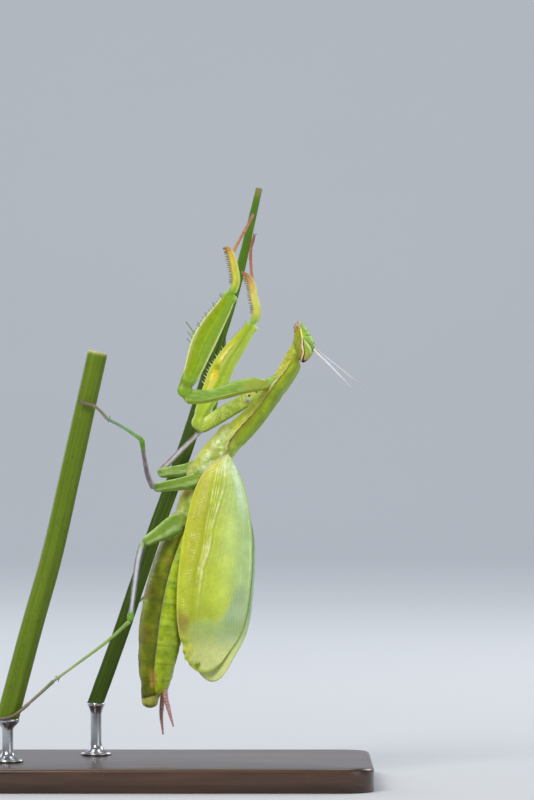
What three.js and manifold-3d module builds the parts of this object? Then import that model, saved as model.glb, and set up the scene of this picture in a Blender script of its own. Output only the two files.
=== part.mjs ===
// A praying mantis (Mantis religiosa), an adult female just out of her last moult, life size, in millimetres.
// She clings head up to a rush on her left and to a grass blade on her right, with the soft wings hung over
// the back. Both stems stand on short rods over a flat base. +Z is up, the back faces +X, the left side -Y.
// The origin is the middle of the base's underside.
import * as THREE from 'three';
import { mergeVertices } from 'three/addons/utils/BufferGeometryUtils.js';
import Module from 'manifold-3d';

const wasm = await Module();
wasm.setup();

// ---------------------------------------------------------------- driving dimensions

const GAP = 0.3; // between touching parts
const ROOT_SINK = 0.35; // how far a spine's root goes into its limb
const SPINE_RADIUS = 0.25;

const BASE = { length: 65, width: 44, thickness: 4, cornerRadius: 5, bevel: 0.5 };
const ROD = { radius: 0.9, footRadius: 2.6, footHeight: 0.9, cupHeight: 1.2 };
const RUSH_RADIUS = 1.75;
const BLADE = { halfWidth: 1.3, topHalfWidth: 0.55, halfThickness: 0.75 };
const CUP = { rush: 1.9, blade: 1.4 }; // radius of each rod's cup
const WING = { thickness: 0.5, ridge: 0.12, tegmenSpine: 1.7, hindSpine: 0.65 };

// ---------------------------------------------------------------- colours

const GREEN = 0x8fc63d;
const LEAF = 0x7fb524;
const PALE = 0xc9dfa0;
const GREY_LILAC = 0xa9aeb0;
const YELLOW_GREEN = 0xb8cf3e;

function colour(hex, roughness = 0.45, metalness = 0) {
  return new THREE.MeshStandardMaterial({ color: hex, roughness, metalness });
}

// ---------------------------------------------------------------- solids and booleans

// The geometry with positions only and its shared corners merged.
function bare(geometry) {
  geometry.deleteAttribute('normal');
  geometry.deleteAttribute('uv');
  return mergeVertices(geometry, 1e-5);
}

function solidOf(geometry) {
  const vertProperties = Float32Array.from(geometry.getAttribute('position').array);
  const triVerts = Uint32Array.from(geometry.getIndex().array);
  return new wasm.Manifold(new wasm.Mesh({ numProp: 3, vertProperties, triVerts }));
}

// The largest closed surface of a solid.
function largest(solid) {
  return solid.decompose().reduce((best, piece) => (piece.volume() > best.volume() ? piece : best));
}

function geometryOf(solid) {
  const mesh = solid.getMesh();
  const geometry = new THREE.BufferGeometry();
  geometry.setAttribute('position', new THREE.BufferAttribute(Float32Array.from(mesh.vertProperties), 3));
  geometry.setIndex(new THREE.BufferAttribute(Uint32Array.from(mesh.triVerts), 1));
  return geometry;
}

// What is left of a solid beside its neighbours, in one closed surface.
function clearOf(solid, ...neighbours) {
  return largest(neighbours.reduce((rest, neighbour) => rest.subtract(neighbour), solid));
}

// ---------------------------------------------------------------- lofts

// A closed surface of rings between two end points: a sphere's mesh laid over the given places.
function loft(sides, ringCount, endPoint, ringPoint) {
  const rows = ringCount + 1;
  const geometry = bare(new THREE.SphereGeometry(1, sides, rows));
  const position = geometry.getAttribute('position');
  const corner = new THREE.Vector3();
  for (let i = 0; i < position.count; i += 1) {
    corner.fromBufferAttribute(position, i);
    const row = Math.round((Math.acos(THREE.MathUtils.clamp(corner.y, -1, 1)) / Math.PI) * rows);
    const turn = Math.atan2(corner.z, corner.x);
    const atEnd = row === 0 || row === rows;
    const place = atEnd ? endPoint(row === 0 ? 0 : 1) : ringPoint(row - 1, turn);
    position.setXYZ(i, place.x, place.y, place.z);
  }
  return geometry;
}

// A smooth function through stations [share, value, value, ...].
function profile(stations) {
  const slope = (i, k) => (stations[i + 1][k] - stations[i][k]) / (stations[i + 1][0] - stations[i][0]);
  const tangent = (i, k) => {
    if (i === 0) return slope(0, k);
    if (i === stations.length - 1) return slope(i - 1, k);
    const before = slope(i - 1, k);
    const after = slope(i, k);
    return before * after <= 0 ? 0 : (2 * before * after) / (before + after);
  };
  return (share) => {
    const last = stations.length - 2;
    const found = stations.findIndex((station, i) => i <= last && share <= stations[i + 1][0]);
    const i = found < 0 ? last : found;
    const width = stations[i + 1][0] - stations[i][0];
    const x = THREE.MathUtils.clamp((share - stations[i][0]) / width, 0, 1);
    return stations[i].slice(1).map((value, index) => {
      const k = index + 1;
      const next = stations[i + 1][k];
      const rise = x * x * (3 - 2 * x);
      const leave = x * (1 - x) * (1 - x) * tangent(i, k) * width;
      const arrive = x * x * (x - 1) * tangent(i + 1, k) * width;
      return value + (next - value) * rise + leave + arrive;
    });
  };
}

// Sections of a limb: [width, depth] for each turn, where a quarter turn is the back of the trunk.
const ROUND = (turn) => [Math.cos(turn), Math.sin(turn)];
const FLATTENED = (turn) => [Math.sign(Math.cos(turn)) * Math.abs(Math.cos(turn)) ** 0.6, Math.sin(turn)];

// A section from its right half, listed from the back to the belly.
function mirrored(half) {
  return (turn) => {
    const place = (Math.acos(Math.sin(turn)) / Math.PI) * (half.length - 1);
    const i = Math.min(Math.floor(place), half.length - 2);
    const [u, v] = [0, 1].map((k) => THREE.MathUtils.lerp(half[i][k], half[i + 1][k], place - i));
    return [Math.cos(turn) < 0 ? -u : u, v];
  };
}

// The keeled shield of the prothorax with its thin side margins over a rounded belly.
const SHIELD = mirrored([[0, 1], [0.36, 0.86], [0.7, 0.6], [0.93, 0.2], [1, -0.16], [0.96, -0.34],
  [0.72, -0.56], [0.4, -0.86], [0, -1]]);
// The abdomen's arched back plates, the fold along its side and its belly plates.
const SEGMENTED = mirrored([[0, 1], [0.31, 0.95], [0.59, 0.81], [0.8, 0.6], [0.94, 0.36], [0.99, 0.12],
  [0.92, -0.08], [0.96, -0.3], [0.83, -0.6], [0.5, -0.88], [0, -1]]);
// A leaf folded along its midrib.
const FOLDED = mirrored([[0, 0.55], [0.9, 0.9], [1, 0.4], [0.75, -0.6], [0, -1]]);

const CAP_STEPS = [0.42, 0.8];

// A limb: a closed tube along a smooth path. Its stations give [share of length, half width, half depth];
// the width lies along `across`, the depth along the path's tangent crossed with it. Its rings are even, or
// stand at the given shares of its wall, and `swell` scales each of them.
function limb({
  points, stations, sides = 8, rows = 5, across = [0, 1, 0], caps = [1, 1], section = ROUND, shares = null,
  swell = () => 1,
}) {
  const curve = new THREE.CatmullRomCurve3(points.map((p) => new THREE.Vector3(...p)), false, 'centripetal');
  const length = curve.getLength();
  const sizes = profile(stations);
  const reference = new THREE.Vector3(...across);
  const frameAt = (along) => {
    const share = THREE.MathUtils.clamp(along / length, 0, 1);
    const tangent = curve.getTangentAt(share);
    const centre = curve.getPointAt(share).addScaledVector(tangent, along - share * length);
    const wide = reference.clone().addScaledVector(tangent, -reference.dot(tangent)).normalize();
    const deep = tangent.clone().cross(wide);
    return { centre, tangent, wide, deep, sizes: sizes(share) };
  };
  const surface = (along, turn, grow, scale = 1) => {
    const frame = frameAt(along);
    const [u, v] = section(turn);
    const size = Math.hypot(u, v);
    const [a, b] = frame.sizes.map((half) => (half * swell(along / length) + grow / size) * scale);
    return frame.centre.addScaledVector(frame.wide, u * a).addScaledVector(frame.deep, v * b);
  };
  const geometry = (grow = 0) => {
    const start = -grow;
    const end = length + grow;
    const roundings = [0, 1].map((i) => (Math.max(...sizes(i)) + grow) * caps[i]);
    const capRing = (step) => [1 - Math.cos((step * Math.PI) / 2), Math.sin((step * Math.PI) / 2)];
    const capRings = CAP_STEPS.map(capRing);
    const places = shares || Array.from({ length: rows + 1 }, (_, row) => row / rows);
    const wall = [start + roundings[0], end - roundings[1]];
    const rings = places.map((share) => [THREE.MathUtils.lerp(...wall, share), 1]);
    const cap = (from, rounding) => capRings.map(([rise, scale]) => [from + rounding * rise, scale]);
    if (caps[0] > 0) rings.unshift(...cap(start, roundings[0]));
    if (caps[1] > 0) rings.push(...cap(end, -roundings[1]).reverse());
    const endPoint = (which) => frameAt(which === 0 ? start : end).centre;
    const ringPoint = (row, turn) => surface(rings[row][0], turn, grow, rings[row][1]);
    return loft(sides, rings.length, endPoint, ringPoint);
  };
  return { length, frameAt, surface, solid: (grow = 0) => solidOf(geometry(grow)) };
}

// A tapered spine with its root sunk in the limb that it stands on.
function spine(root, direction, length, radius = SPINE_RADIUS) {
  const geometry = bare(new THREE.ConeGeometry(radius, length + ROOT_SINK, 5, 1));
  geometry.translate(0, (length + ROOT_SINK) / 2 - ROOT_SINK, 0);
  geometry.applyQuaternion(new THREE.Quaternion().setFromUnitVectors(new THREE.Vector3(0, 1, 0), direction));
  geometry.translate(root.x, root.y, root.z);
  return solidOf(geometry);
}

// A spine on a limb's wall at a share of its length: it stands out along its turn and leans to the limb's
// end.
function spineOn(shape, { share, turn, lean, length, radius }) {
  const along = share * shape.length;
  const frame = shape.frameAt(along);
  const root = shape.surface(along, turn, 0);
  const direction = frame.wide.clone().multiplyScalar(Math.cos(turn));
  direction.addScaledVector(frame.deep, Math.sin(turn)).addScaledVector(frame.tangent, lean).normalize();
  return spine(root, direction, length, radius);
}

// A thin curved vane: two like sheets of columns and rows, joined round the rim.
function vane(columns, rows, place) {
  const sheet = new THREE.PlaneGeometry(1, 1, columns, rows);
  const uv = sheet.getAttribute('uv');
  const count = uv.count;
  const corners = [];
  [1, -1].forEach((face) => {
    for (let i = 0; i < count; i += 1) {
      corners.push(...place(uv.getX(i), 1 - uv.getY(i), face).toArray());
    }
  });
  const front = Array.from(sheet.getIndex().array);
  const triangles = [...front];
  for (let i = 0; i < front.length; i += 3) {
    triangles.push(front[i] + count, front[i + 2] + count, front[i + 1] + count);
  }
  const rim = [];
  for (let i = 0; i < columns; i += 1) rim.push(i);
  for (let i = 0; i < rows; i += 1) rim.push((columns + 1) * i + columns);
  for (let i = columns; i > 0; i -= 1) rim.push((columns + 1) * rows + i);
  for (let i = rows; i > 0; i -= 1) rim.push((columns + 1) * i);
  rim.forEach((from, i) => {
    const to = rim[(i + 1) % rim.length];
    triangles.push(from, to, from + count, to, to + count, from + count);
  });
  const geometry = new THREE.BufferGeometry();
  geometry.setAttribute('position', new THREE.Float32BufferAttribute(corners, 3));
  geometry.setIndex(triangles);
  return solidOf(geometry);
}

// ---------------------------------------------------------------- the model

const mantis = new THREE.Group();

function part(name, solid, material) {
  const mesh = new THREE.Mesh(geometryOf(solid), material);
  mesh.name = name;
  mantis.add(mesh);
}

// ---------------------------------------------------------------- trunk

// Each segment of the abdomen: its share of the length, narrow in front and wide at its hind edge.
const SEGMENT_SHARES = [0.12, 0.12, 0.12, 0.12, 0.12, 0.11, 0.1, 0.1, 0.09];
const SEGMENT_STEP = 0.045;
const SEGMENT_EDGE = 0.007;
const segmentEdges = SEGMENT_SHARES.reduce((edges, share) => [...edges, edges.at(-1) + share], [0]);

function segmentSwell(share) {
  const i = Math.max(segmentEdges.findIndex((edge) => edge > share), 1);
  const within = (share - segmentEdges[i - 1]) / (segmentEdges[i] - segmentEdges[i - 1]);
  return 1 - SEGMENT_STEP / 2 + SEGMENT_STEP * THREE.MathUtils.clamp(within, 0, 1);
}

const segmentRings = segmentEdges.slice(1, -1).flatMap((edge, i) => [
  (edge + segmentEdges[i]) / 2, edge - SEGMENT_EDGE, edge + SEGMENT_EDGE]);

const prothorax = limb({
  points: [[19.6, 0, 69.7], [18.2, 0, 67.3], [15.7, 0, 63.8], [13.2, 0, 60.65], [10.4, 0, 57.85],
    [8.2, 0, 56.0]],
  stations: [[0, 1.6, 1.4], [0.13, 2.2, 1.6], [0.3, 2.5, 1.6], [0.45, 1.8, 1.6], [0.6, 1.6, 1.78],
    [0.85, 1.8, 2.1], [1, 1.9, 2.1]],
  sides: 16,
  rows: 12,
  caps: [0.35, 0.35],
  section: SHIELD,
});
const mesothorax = limb({
  points: [[8.7, 0, 57.2], [7.4, 0, 55.0], [6.2, 0, 52.6], [5.0, 0, 50.0]],
  stations: [[0, 1.8, 1.9], [0.2, 2.1, 2.3], [0.6, 2.85, 2.9], [1, 3.1, 3.1]],
  sides: 16,
  rows: 5,
  caps: [0.3, 0.15],
});
const metathorax = limb({
  points: [[5.3, 0, 50.8], [3.8, 0, 46.7], [2.6, 0, 43.4]],
  stations: [[0, 3.0, 3.0], [0.3, 3.15, 3.1], [0.6, 3.2, 3.05], [1, 3.1, 2.9]],
  sides: 16,
  rows: 5,
  caps: [0.15, 0.25],
});
const abdomen = limb({
  points: [[2.7, 0, 43.8], [1.0, 0, 39.3], [-0.3, 0, 35.5], [-1.4, 0, 31.0], [-2.1, 0, 26.9], [-2.6, 0, 22.8],
    [-3.1, 0, 18.6], [-3.1, 0, 14.2]],
  stations: [[0, 2.9, 2.8], [0.12, 3.5, 3.2], [0.26, 3.8, 3.4], [0.42, 4.0, 3.62], [0.58, 4.1, 3.66],
    [0.72, 3.8, 3.4], [0.85, 3.2, 2.9], [0.95, 2.3, 2.1], [1, 1.6, 1.4]],
  sides: 18,
  caps: [0.3, 0.7],
  section: SEGMENTED,
  shares: [0, ...segmentRings, 1],
  swell: segmentSwell,
});
const subgenitalPlate = limb({
  points: [[-4.4, 0, 17.7], [-4.1, 0, 15.0], [-4.2, 0, 12.4]],
  stations: [[0, 2.2, 1.3], [0.5, 2.1, 1.5], [1, 1.3, 1.0]],
  sides: 12,
  rows: 5,
});

part('prothorax', prothorax.solid(), colour(GREEN));
part('mesothorax', clearOf(mesothorax.solid(), prothorax.solid(GAP)), colour(PALE));
part('metathorax', clearOf(metathorax.solid(), mesothorax.solid(GAP)), colour(PALE));
part('abdomen', clearOf(abdomen.solid(), metathorax.solid(GAP)), colour(LEAF));
part('subgenital_plate', clearOf(subgenitalPlate.solid(), abdomen.solid(GAP)), colour(YELLOW_GREEN));

// ---------------------------------------------------------------- head

// The head stands on the front of the prothorax with its mouth up and its face to +X. A place in it is given
// from the vertex, the crown between the eyes: along to the mouth, out to the side, and forward to the face.
const HEAD = { vertex: [21.5, 0, 69.6], lean: -0.188, length: 6.65, width: 7.4 };
const toMouth = new THREE.Vector3(Math.sin(HEAD.lean), 0, Math.cos(HEAD.lean));
const toFace = new THREE.Vector3(Math.cos(HEAD.lean), 0, -Math.sin(HEAD.lean));

function inHead(along, side, forward) {
  const place = new THREE.Vector3(...HEAD.vertex);
  place.addScaledVector(toMouth, along).addScaledVector(toFace, forward);
  place.y += side;
  return place;
}

// Each station of the capsule: [along, half width, back, front].
const capsuleShape = profile([
  [0.3, 1.5, -0.75, 0.6], [0.8, 2.05, -1.0, 1.15], [1.5, 2.4, -1.1, 1.6], [2.3, 2.55, -1.15, 1.95],
  [3.1, 2.4, -1.25, 2.05], [3.9, 1.95, -1.15, 1.85], [4.7, 1.45, -0.95, 1.5], [5.35, 1.15, -0.75, 1.15],
]);

function capsuleSolid(grow = 0) {
  const first = 0.3 - grow;
  const last = 5.35 + grow;
  const rings = 11;
  const ringPoint = (row, turn) => {
    const along = THREE.MathUtils.lerp(first, last, row / (rings - 1));
    const [half, back, front] = capsuleShape(along);
    const side = Math.cos(turn) * (half + grow);
    const forward = (back + front) / 2 - Math.sin(turn) * ((front - back) / 2 + grow);
    return inHead(along, side, forward);
  };
  return solidOf(loft(18, rings, (which) => inHead(which === 0 ? first - 0.12 : last, 0, 0), ringPoint));
}

const EYE = {
  along: 1.62, side: 2.55, forward: 0.15, halfAlong: 1.84, halfSide: 1.2, halfForward: 1.28, tilt: 0.2,
};

function eyeSolid(hand, grow = 0) {
  const rings = 9;
  const cos = Math.cos(EYE.tilt);
  const sin = Math.sin(EYE.tilt);
  const place = (phi, turn) => {
    const long = -Math.cos(phi) * (EYE.halfAlong + grow);
    const ring = Math.sin(phi) * (1 - 0.12 * Math.cos(phi));
    const out = Math.cos(turn) * ring * (EYE.halfSide + grow);
    const forward = -Math.sin(turn) * ring * (EYE.halfForward + grow);
    return inHead(EYE.along + long * cos - hand * out * sin, hand * EYE.side + out * cos - hand * long * sin,
      EYE.forward + forward);
  };
  return solidOf(loft(14, rings, (which) => place(which * Math.PI, 0),
    (row, turn) => place((Math.PI * (row + 1)) / (rings + 1), turn)));
}

// Three small round eyes on the face, below the antennae's roots on the way to the crown.
const OCELLUS = { radius: 0.28, places: [[1.35, 0, 1.42], [0.95, 0.5, 1.18], [0.95, -0.5, 1.18]] };

function ocellusSolid([along, side, forward]) {
  const place = inHead(along, side, forward);
  const geometry = bare(new THREE.SphereGeometry(OCELLUS.radius, 6, 4));
  return solidOf(geometry.translate(place.x, place.y, place.z));
}

const ANTENNA_BASE = { along: 1.9, side: 0.75, forward: 1.55 };

function antenna(hand, middle, tip) {
  const root = inHead(ANTENNA_BASE.along, hand * ANTENNA_BASE.side, ANTENNA_BASE.forward);
  return limb({
    points: [root.toArray(), [middle[0], hand * middle[1], middle[2]], [tip[0], hand * tip[1], tip[2]]],
    stations: [[0, 0.36, 0.36], [0.06, 0.38, 0.38], [0.12, 0.27, 0.27], [0.7, 0.25, 0.25], [1, 0.13, 0.13]],
    sides: 6,
    rows: 12,
  });
}

const mouthparts = limb({
  points: [inHead(4.6, 0, 0.35).toArray(), inHead(5.6, 0, 0.15).toArray(), inHead(6.65, 0, 0).toArray()],
  stations: [[0, 1.15, 0.9], [0.5, 0.95, 0.72], [1, 0.4, 0.4]],
  sides: 12,
  rows: 4,
});

// Two pairs of jointed feelers beside the mouth, each from root to tip in the head's own places.
const PALPS = [
  [[4.9, 0.8, 0.3], [5.7, 1.15, 0.3], [6.5, 0.95, 0.25], [6.9, 0.6, 0.2]],
  [[5.3, 0.6, -0.35], [5.9, 0.8, -0.5], [6.5, 0.6, -0.45]],
];

function palpSolid(places, hand) {
  return limb({
    points: places.map(([along, side, forward]) => inHead(along, hand * side, forward).toArray()),
    stations: [[0, 0.26, 0.26], [0.8, 0.26, 0.26], [1, 0.2, 0.2]],
    sides: 6,
    rows: 4,
  }).solid();
}

const neck = limb({
  points: [[18.6, 0, 69.1], [19.3, 0, 70.6], [20.2, 0, 72.1], [20.8, 0, 73.4]],
  stations: [[0, 1.5, 1.25], [0.4, 1.5, 1.2], [0.8, 1.3, 1.0], [1, 1.0, 0.7]],
  sides: 12,
  rows: 4,
});

const HANDS = [['left', -1], ['right', 1]];
const eyesGrown = HANDS.map(([, hand]) => eyeSolid(hand, GAP));
const antennae = {
  left: antenna(-1, [25.6, 3.6, 69.1], [29.0, 7.6, 65.2]),
  right: antenna(1, [26.9, 3.6, 68.6], [31.5, 7.6, 65.2]),
};

const joined = (solid, extras) => extras.reduce((whole, extra) => whole.add(extra), solid);
const capsule = joined(capsuleSolid(), OCELLUS.places.map(ocellusSolid));
const palps = HANDS.flatMap(([, hand]) => PALPS.map((places) => palpSolid(places, hand)));
const mouth = joined(mouthparts.solid(), palps);

part('head', clearOf(capsule, ...eyesGrown), colour(GREEN));
part('mouthparts', clearOf(mouth, capsuleSolid(GAP)), colour(0xc08a78, 0.5));
part('neck', clearOf(neck.solid(), capsuleSolid(GAP), prothorax.solid(GAP), ...eyesGrown), colour(GREEN));
HANDS.forEach(([side, hand]) => {
  part(`eye_${side}`, largest(eyeSolid(hand)), colour(YELLOW_GREEN, 0.25));
  const feeler = clearOf(antennae[side].solid(), capsuleSolid(GAP), ...eyesGrown);
  part(`antenna_${side}`, feeler, colour(0xd8d5cf, 0.6));
});

// ---------------------------------------------------------------- perch

const rush = limb({
  points: [[-12.5, -6.5, 71.1], [-16.5, -6.6, 53.3], [-20.0, -6.9, 37.8], [-23.4, -7.3, 25.6],
    [-27.5, -7.6, 10.1]],
  stations: [[0, RUSH_RADIUS * 0.94, RUSH_RADIUS * 0.94], [1, RUSH_RADIUS * 1.05, RUSH_RADIUS * 1.05]],
  sides: 12,
  rows: 7,
  caps: [0, 0],
});
const blade = limb({
  points: [[13.9, 8, 98.5], [11.9, 8, 89.8], [10.1, 8, 82.4], [6.9, 8, 72.3], [2.7, 8, 58.2],
    [-3.8, 8, 40.1], [-9.4, 8, 23.6], [-13.7, 8, 11.7]],
  stations: [[0, 0.45, BLADE.topHalfWidth], [0.1, 0.6, 0.7], [0.25, BLADE.halfThickness, 1.0],
    [0.45, BLADE.halfThickness, BLADE.halfWidth], [1, BLADE.halfThickness, BLADE.halfWidth * 1.05]],
  sides: 8,
  rows: 14,
  caps: [0, 0],
  section: FOLDED,
});

// A stem is cut level at its lower end, over its rod.
function levelCut(solid, height) {
  const box = bare(new THREE.BoxGeometry(200, 200, 40));
  box.translate(0, 0, height - 20);
  return clearOf(solid, solidOf(box));
}

const RUSH_FOOT = { x: -27.2, y: -7.6, z: 11.2 };
const BLADE_FOOT = { x: -13.3, y: 8, z: 12.8 };

part('perch_rush', levelCut(rush.solid(), RUSH_FOOT.z), colour(0x5f9a1f, 0.5));
part('perch_blade', levelCut(blade.solid(), BLADE_FOOT.z), colour(0x3f6b1c, 0.6));

// ---------------------------------------------------------------- stand

function baseSolid() {
  const { length, width, thickness, cornerRadius, bevel } = BASE;
  const x = length / 2 - bevel;
  const y = width / 2 - bevel;
  const r = cornerRadius - bevel;
  const outline = new THREE.Shape();
  outline.absarc(x - r, y - r, r, 0, Math.PI / 2);
  outline.absarc(r - x, y - r, r, Math.PI / 2, Math.PI);
  outline.absarc(r - x, r - y, r, Math.PI, 1.5 * Math.PI);
  outline.absarc(x - r, r - y, r, 1.5 * Math.PI, 2 * Math.PI);
  const geometry = new THREE.ExtrudeGeometry(outline, {
    depth: thickness - 2 * bevel, bevelThickness: bevel, bevelSize: bevel, bevelSegments: 1, curveSegments: 4,
  });
  geometry.translate(0, 0, bevel);
  return solidOf(bare(geometry));
}

// A turned rod with a foot on the base and a cup under the stem's cut end.
function rodSolid(foot, cupRadius) {
  const bottom = BASE.thickness + GAP;
  const top = foot.z - GAP;
  const { radius, footRadius, footHeight, cupHeight } = ROD;
  const corners = [
    [0, bottom], [footRadius, bottom], [footRadius, bottom + footHeight * 0.5], [radius, bottom + footHeight],
    [radius, top - cupHeight], [cupRadius, top - cupHeight * 0.4], [cupRadius, top], [0, top],
  ].map(([r, z]) => new THREE.Vector2(r, z));
  const geometry = bare(new THREE.LatheGeometry(corners, 14));
  geometry.rotateX(Math.PI / 2);
  geometry.translate(foot.x, foot.y, 0);
  return solidOf(geometry);
}

part('stand_base', baseSolid(), colour(0x3a2a20, 0.4));
part('stand_rod_rush', rodSolid(RUSH_FOOT, CUP.rush), colour(0xb9bcc0, 0.25, 1));
part('stand_rod_blade', rodSolid(BLADE_FOOT, CUP.blade), colour(0xb9bcc0, 0.25, 1));

// ---------------------------------------------------------------- wings

const inPlane = ([x, z]) => new THREE.Vector3(x, 0, z);
const curveThrough = (points) => new THREE.CatmullRomCurve3(points.map(inPlane));

// A wing is a fan between its two long margins. Columns run from root to tip, and every other one is a vein,
// raised in the membrane's own surface. The extra makes it thicker, as room for what passes it.
function wing(hand, { columns, rows, costal, anal, bulge, sideAt }, extra = 0) {
  const costalCurve = curveThrough(costal);
  const analCurve = curveThrough(anal);
  return vane(columns, rows, (u, v, face) => {
    const place = costalCurve.getPoint(v).lerp(analCurve.getPoint(v), u);
    place.z -= bulge * 4 * u * (1 - u) * v * v * v;
    const onVein = Math.round(u * columns) % 2 === 1;
    const ridge = onVein ? WING.ridge * (1 - v ** 4) : 0;
    place.y = hand * sideAt(u, v) - face * (WING.thickness / 2 + ridge + extra);
    return place;
  });
}

// How far from the middle a tegmen's front margin stands, bulged over the flank of the body.
const flank = profile([[0, 3.7], [0.15, 4.1], [0.35, 4.5], [0.55, 4.7], [0.72, 4.2], [0.86, 3.0], [1, 2.2]]);
// How far from the middle its flat field stands, and how much of its width bulges.
const field = profile([[0, 2.7, 0.7], [0.12, 2.6, 0.75], [0.22, 2.1, 0.7], [0.36, WING.tegmenSpine, 0.5],
  [1, WING.tegmenSpine, 0.5]]);

const TEGMEN = {
  columns: 18,
  rows: 12,
  costal: [[6.8, 53.5], [3.6, 49.5], [1.7, 42.1], [0.5, 33.5], [0.5, 26.1], [1.7, 20.4]],
  anal: [[9.1, 53.8], [11.6, 48.3], [12.8, 40.9], [12.6, 31.8], [11.2, 24.8], [8.0, 20.0]],
  bulge: 2.0,
  sideAt: (u, v) => {
    const [spine, share] = field(v);
    const wrap = Math.cos((Math.min(u / share, 1) * Math.PI) / 2);
    return spine + (flank(v)[0] - spine) * wrap;
  },
};
const HINDWING = {
  columns: 12,
  rows: 8,
  costal: [[7.9, 46.0], [6.4, 41.7], [5.0, 36.8], [3.7, 30.2], [2.8, 23.6], [3.5, 19.0]],
  anal: [[8.9, 50.0], [11.2, 46.7], [12.9, 40.1], [12.8, 31.8], [11.8, 25.0], [9.1, 19.7]],
  bulge: 2.6,
  sideAt: () => WING.hindSpine,
};

HANDS.forEach(([side, hand]) => {
  part(`tegmen_${side}`, wing(hand, TEGMEN), colour(0xb5dd6b, 0.5));
  part(`hindwing_${side}`, wing(hand, HINDWING), colour(0xd5e8a6, 0.5));
});

// ---------------------------------------------------------------- legs

// Each segment's points run from body to foot. A segment is cut clear of the one that carries it.
const FORE_COXA = [[0, 0.9, 0.95], [0.3, 0.95, 1.15], [0.6, 0.95, 1.26], [0.9, 0.9, 1.15], [1, 0.85, 1.0]];
const FORE_FEMUR = [[0, 0.85, 1.05], [0.06, 0.9, 1.15], [0.11, 0.85, 1.12], [0.22, 0.9, 1.3],
  [0.34, 0.95, 1.65], [0.52, 0.95, 1.98], [0.64, 0.9, 1.85], [0.86, 0.75, 1.3], [1, 0.68, 1.02]];
const FORE_TIBIA = [[0, 0.5, 0.72], [0.3, 0.48, 0.7], [0.65, 0.46, 0.66], [0.85, 0.4, 0.5], [1, 0.15, 0.15]];
const TARSUS = [[0, 0.32, 0.32], [0.45, 0.27, 0.27], [0.5, 0.32, 0.32], [0.75, 0.28, 0.28],
  [0.85, 0.33, 0.33], [1, 0.22, 0.22]];
const COXA = [[0, 1.0, 1.0], [0.5, 0.85, 0.95], [1, 0.65, 0.72]];
const MID_FEMUR = [[0, 0.55, 0.55], [0.15, 0.58, 0.58], [0.8, 0.48, 0.48], [0.93, 0.62, 0.62], [1, 0.6, 0.6]];
const MID_TIBIA = [[0, 0.42, 0.42], [0.2, 0.38, 0.38], [0.9, 0.32, 0.32], [1, 0.36, 0.36]];
const HIND_FEMUR = [[0, 0.6, 0.6], [0.15, 0.62, 0.62], [0.82, 0.46, 0.46], [0.94, 0.62, 0.62], [1, 0.6, 0.6]];
const HIND_TIBIA = [[0, 0.42, 0.42], [0.2, 0.36, 0.36], [0.9, 0.29, 0.29], [1, 0.33, 0.33]];

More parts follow.
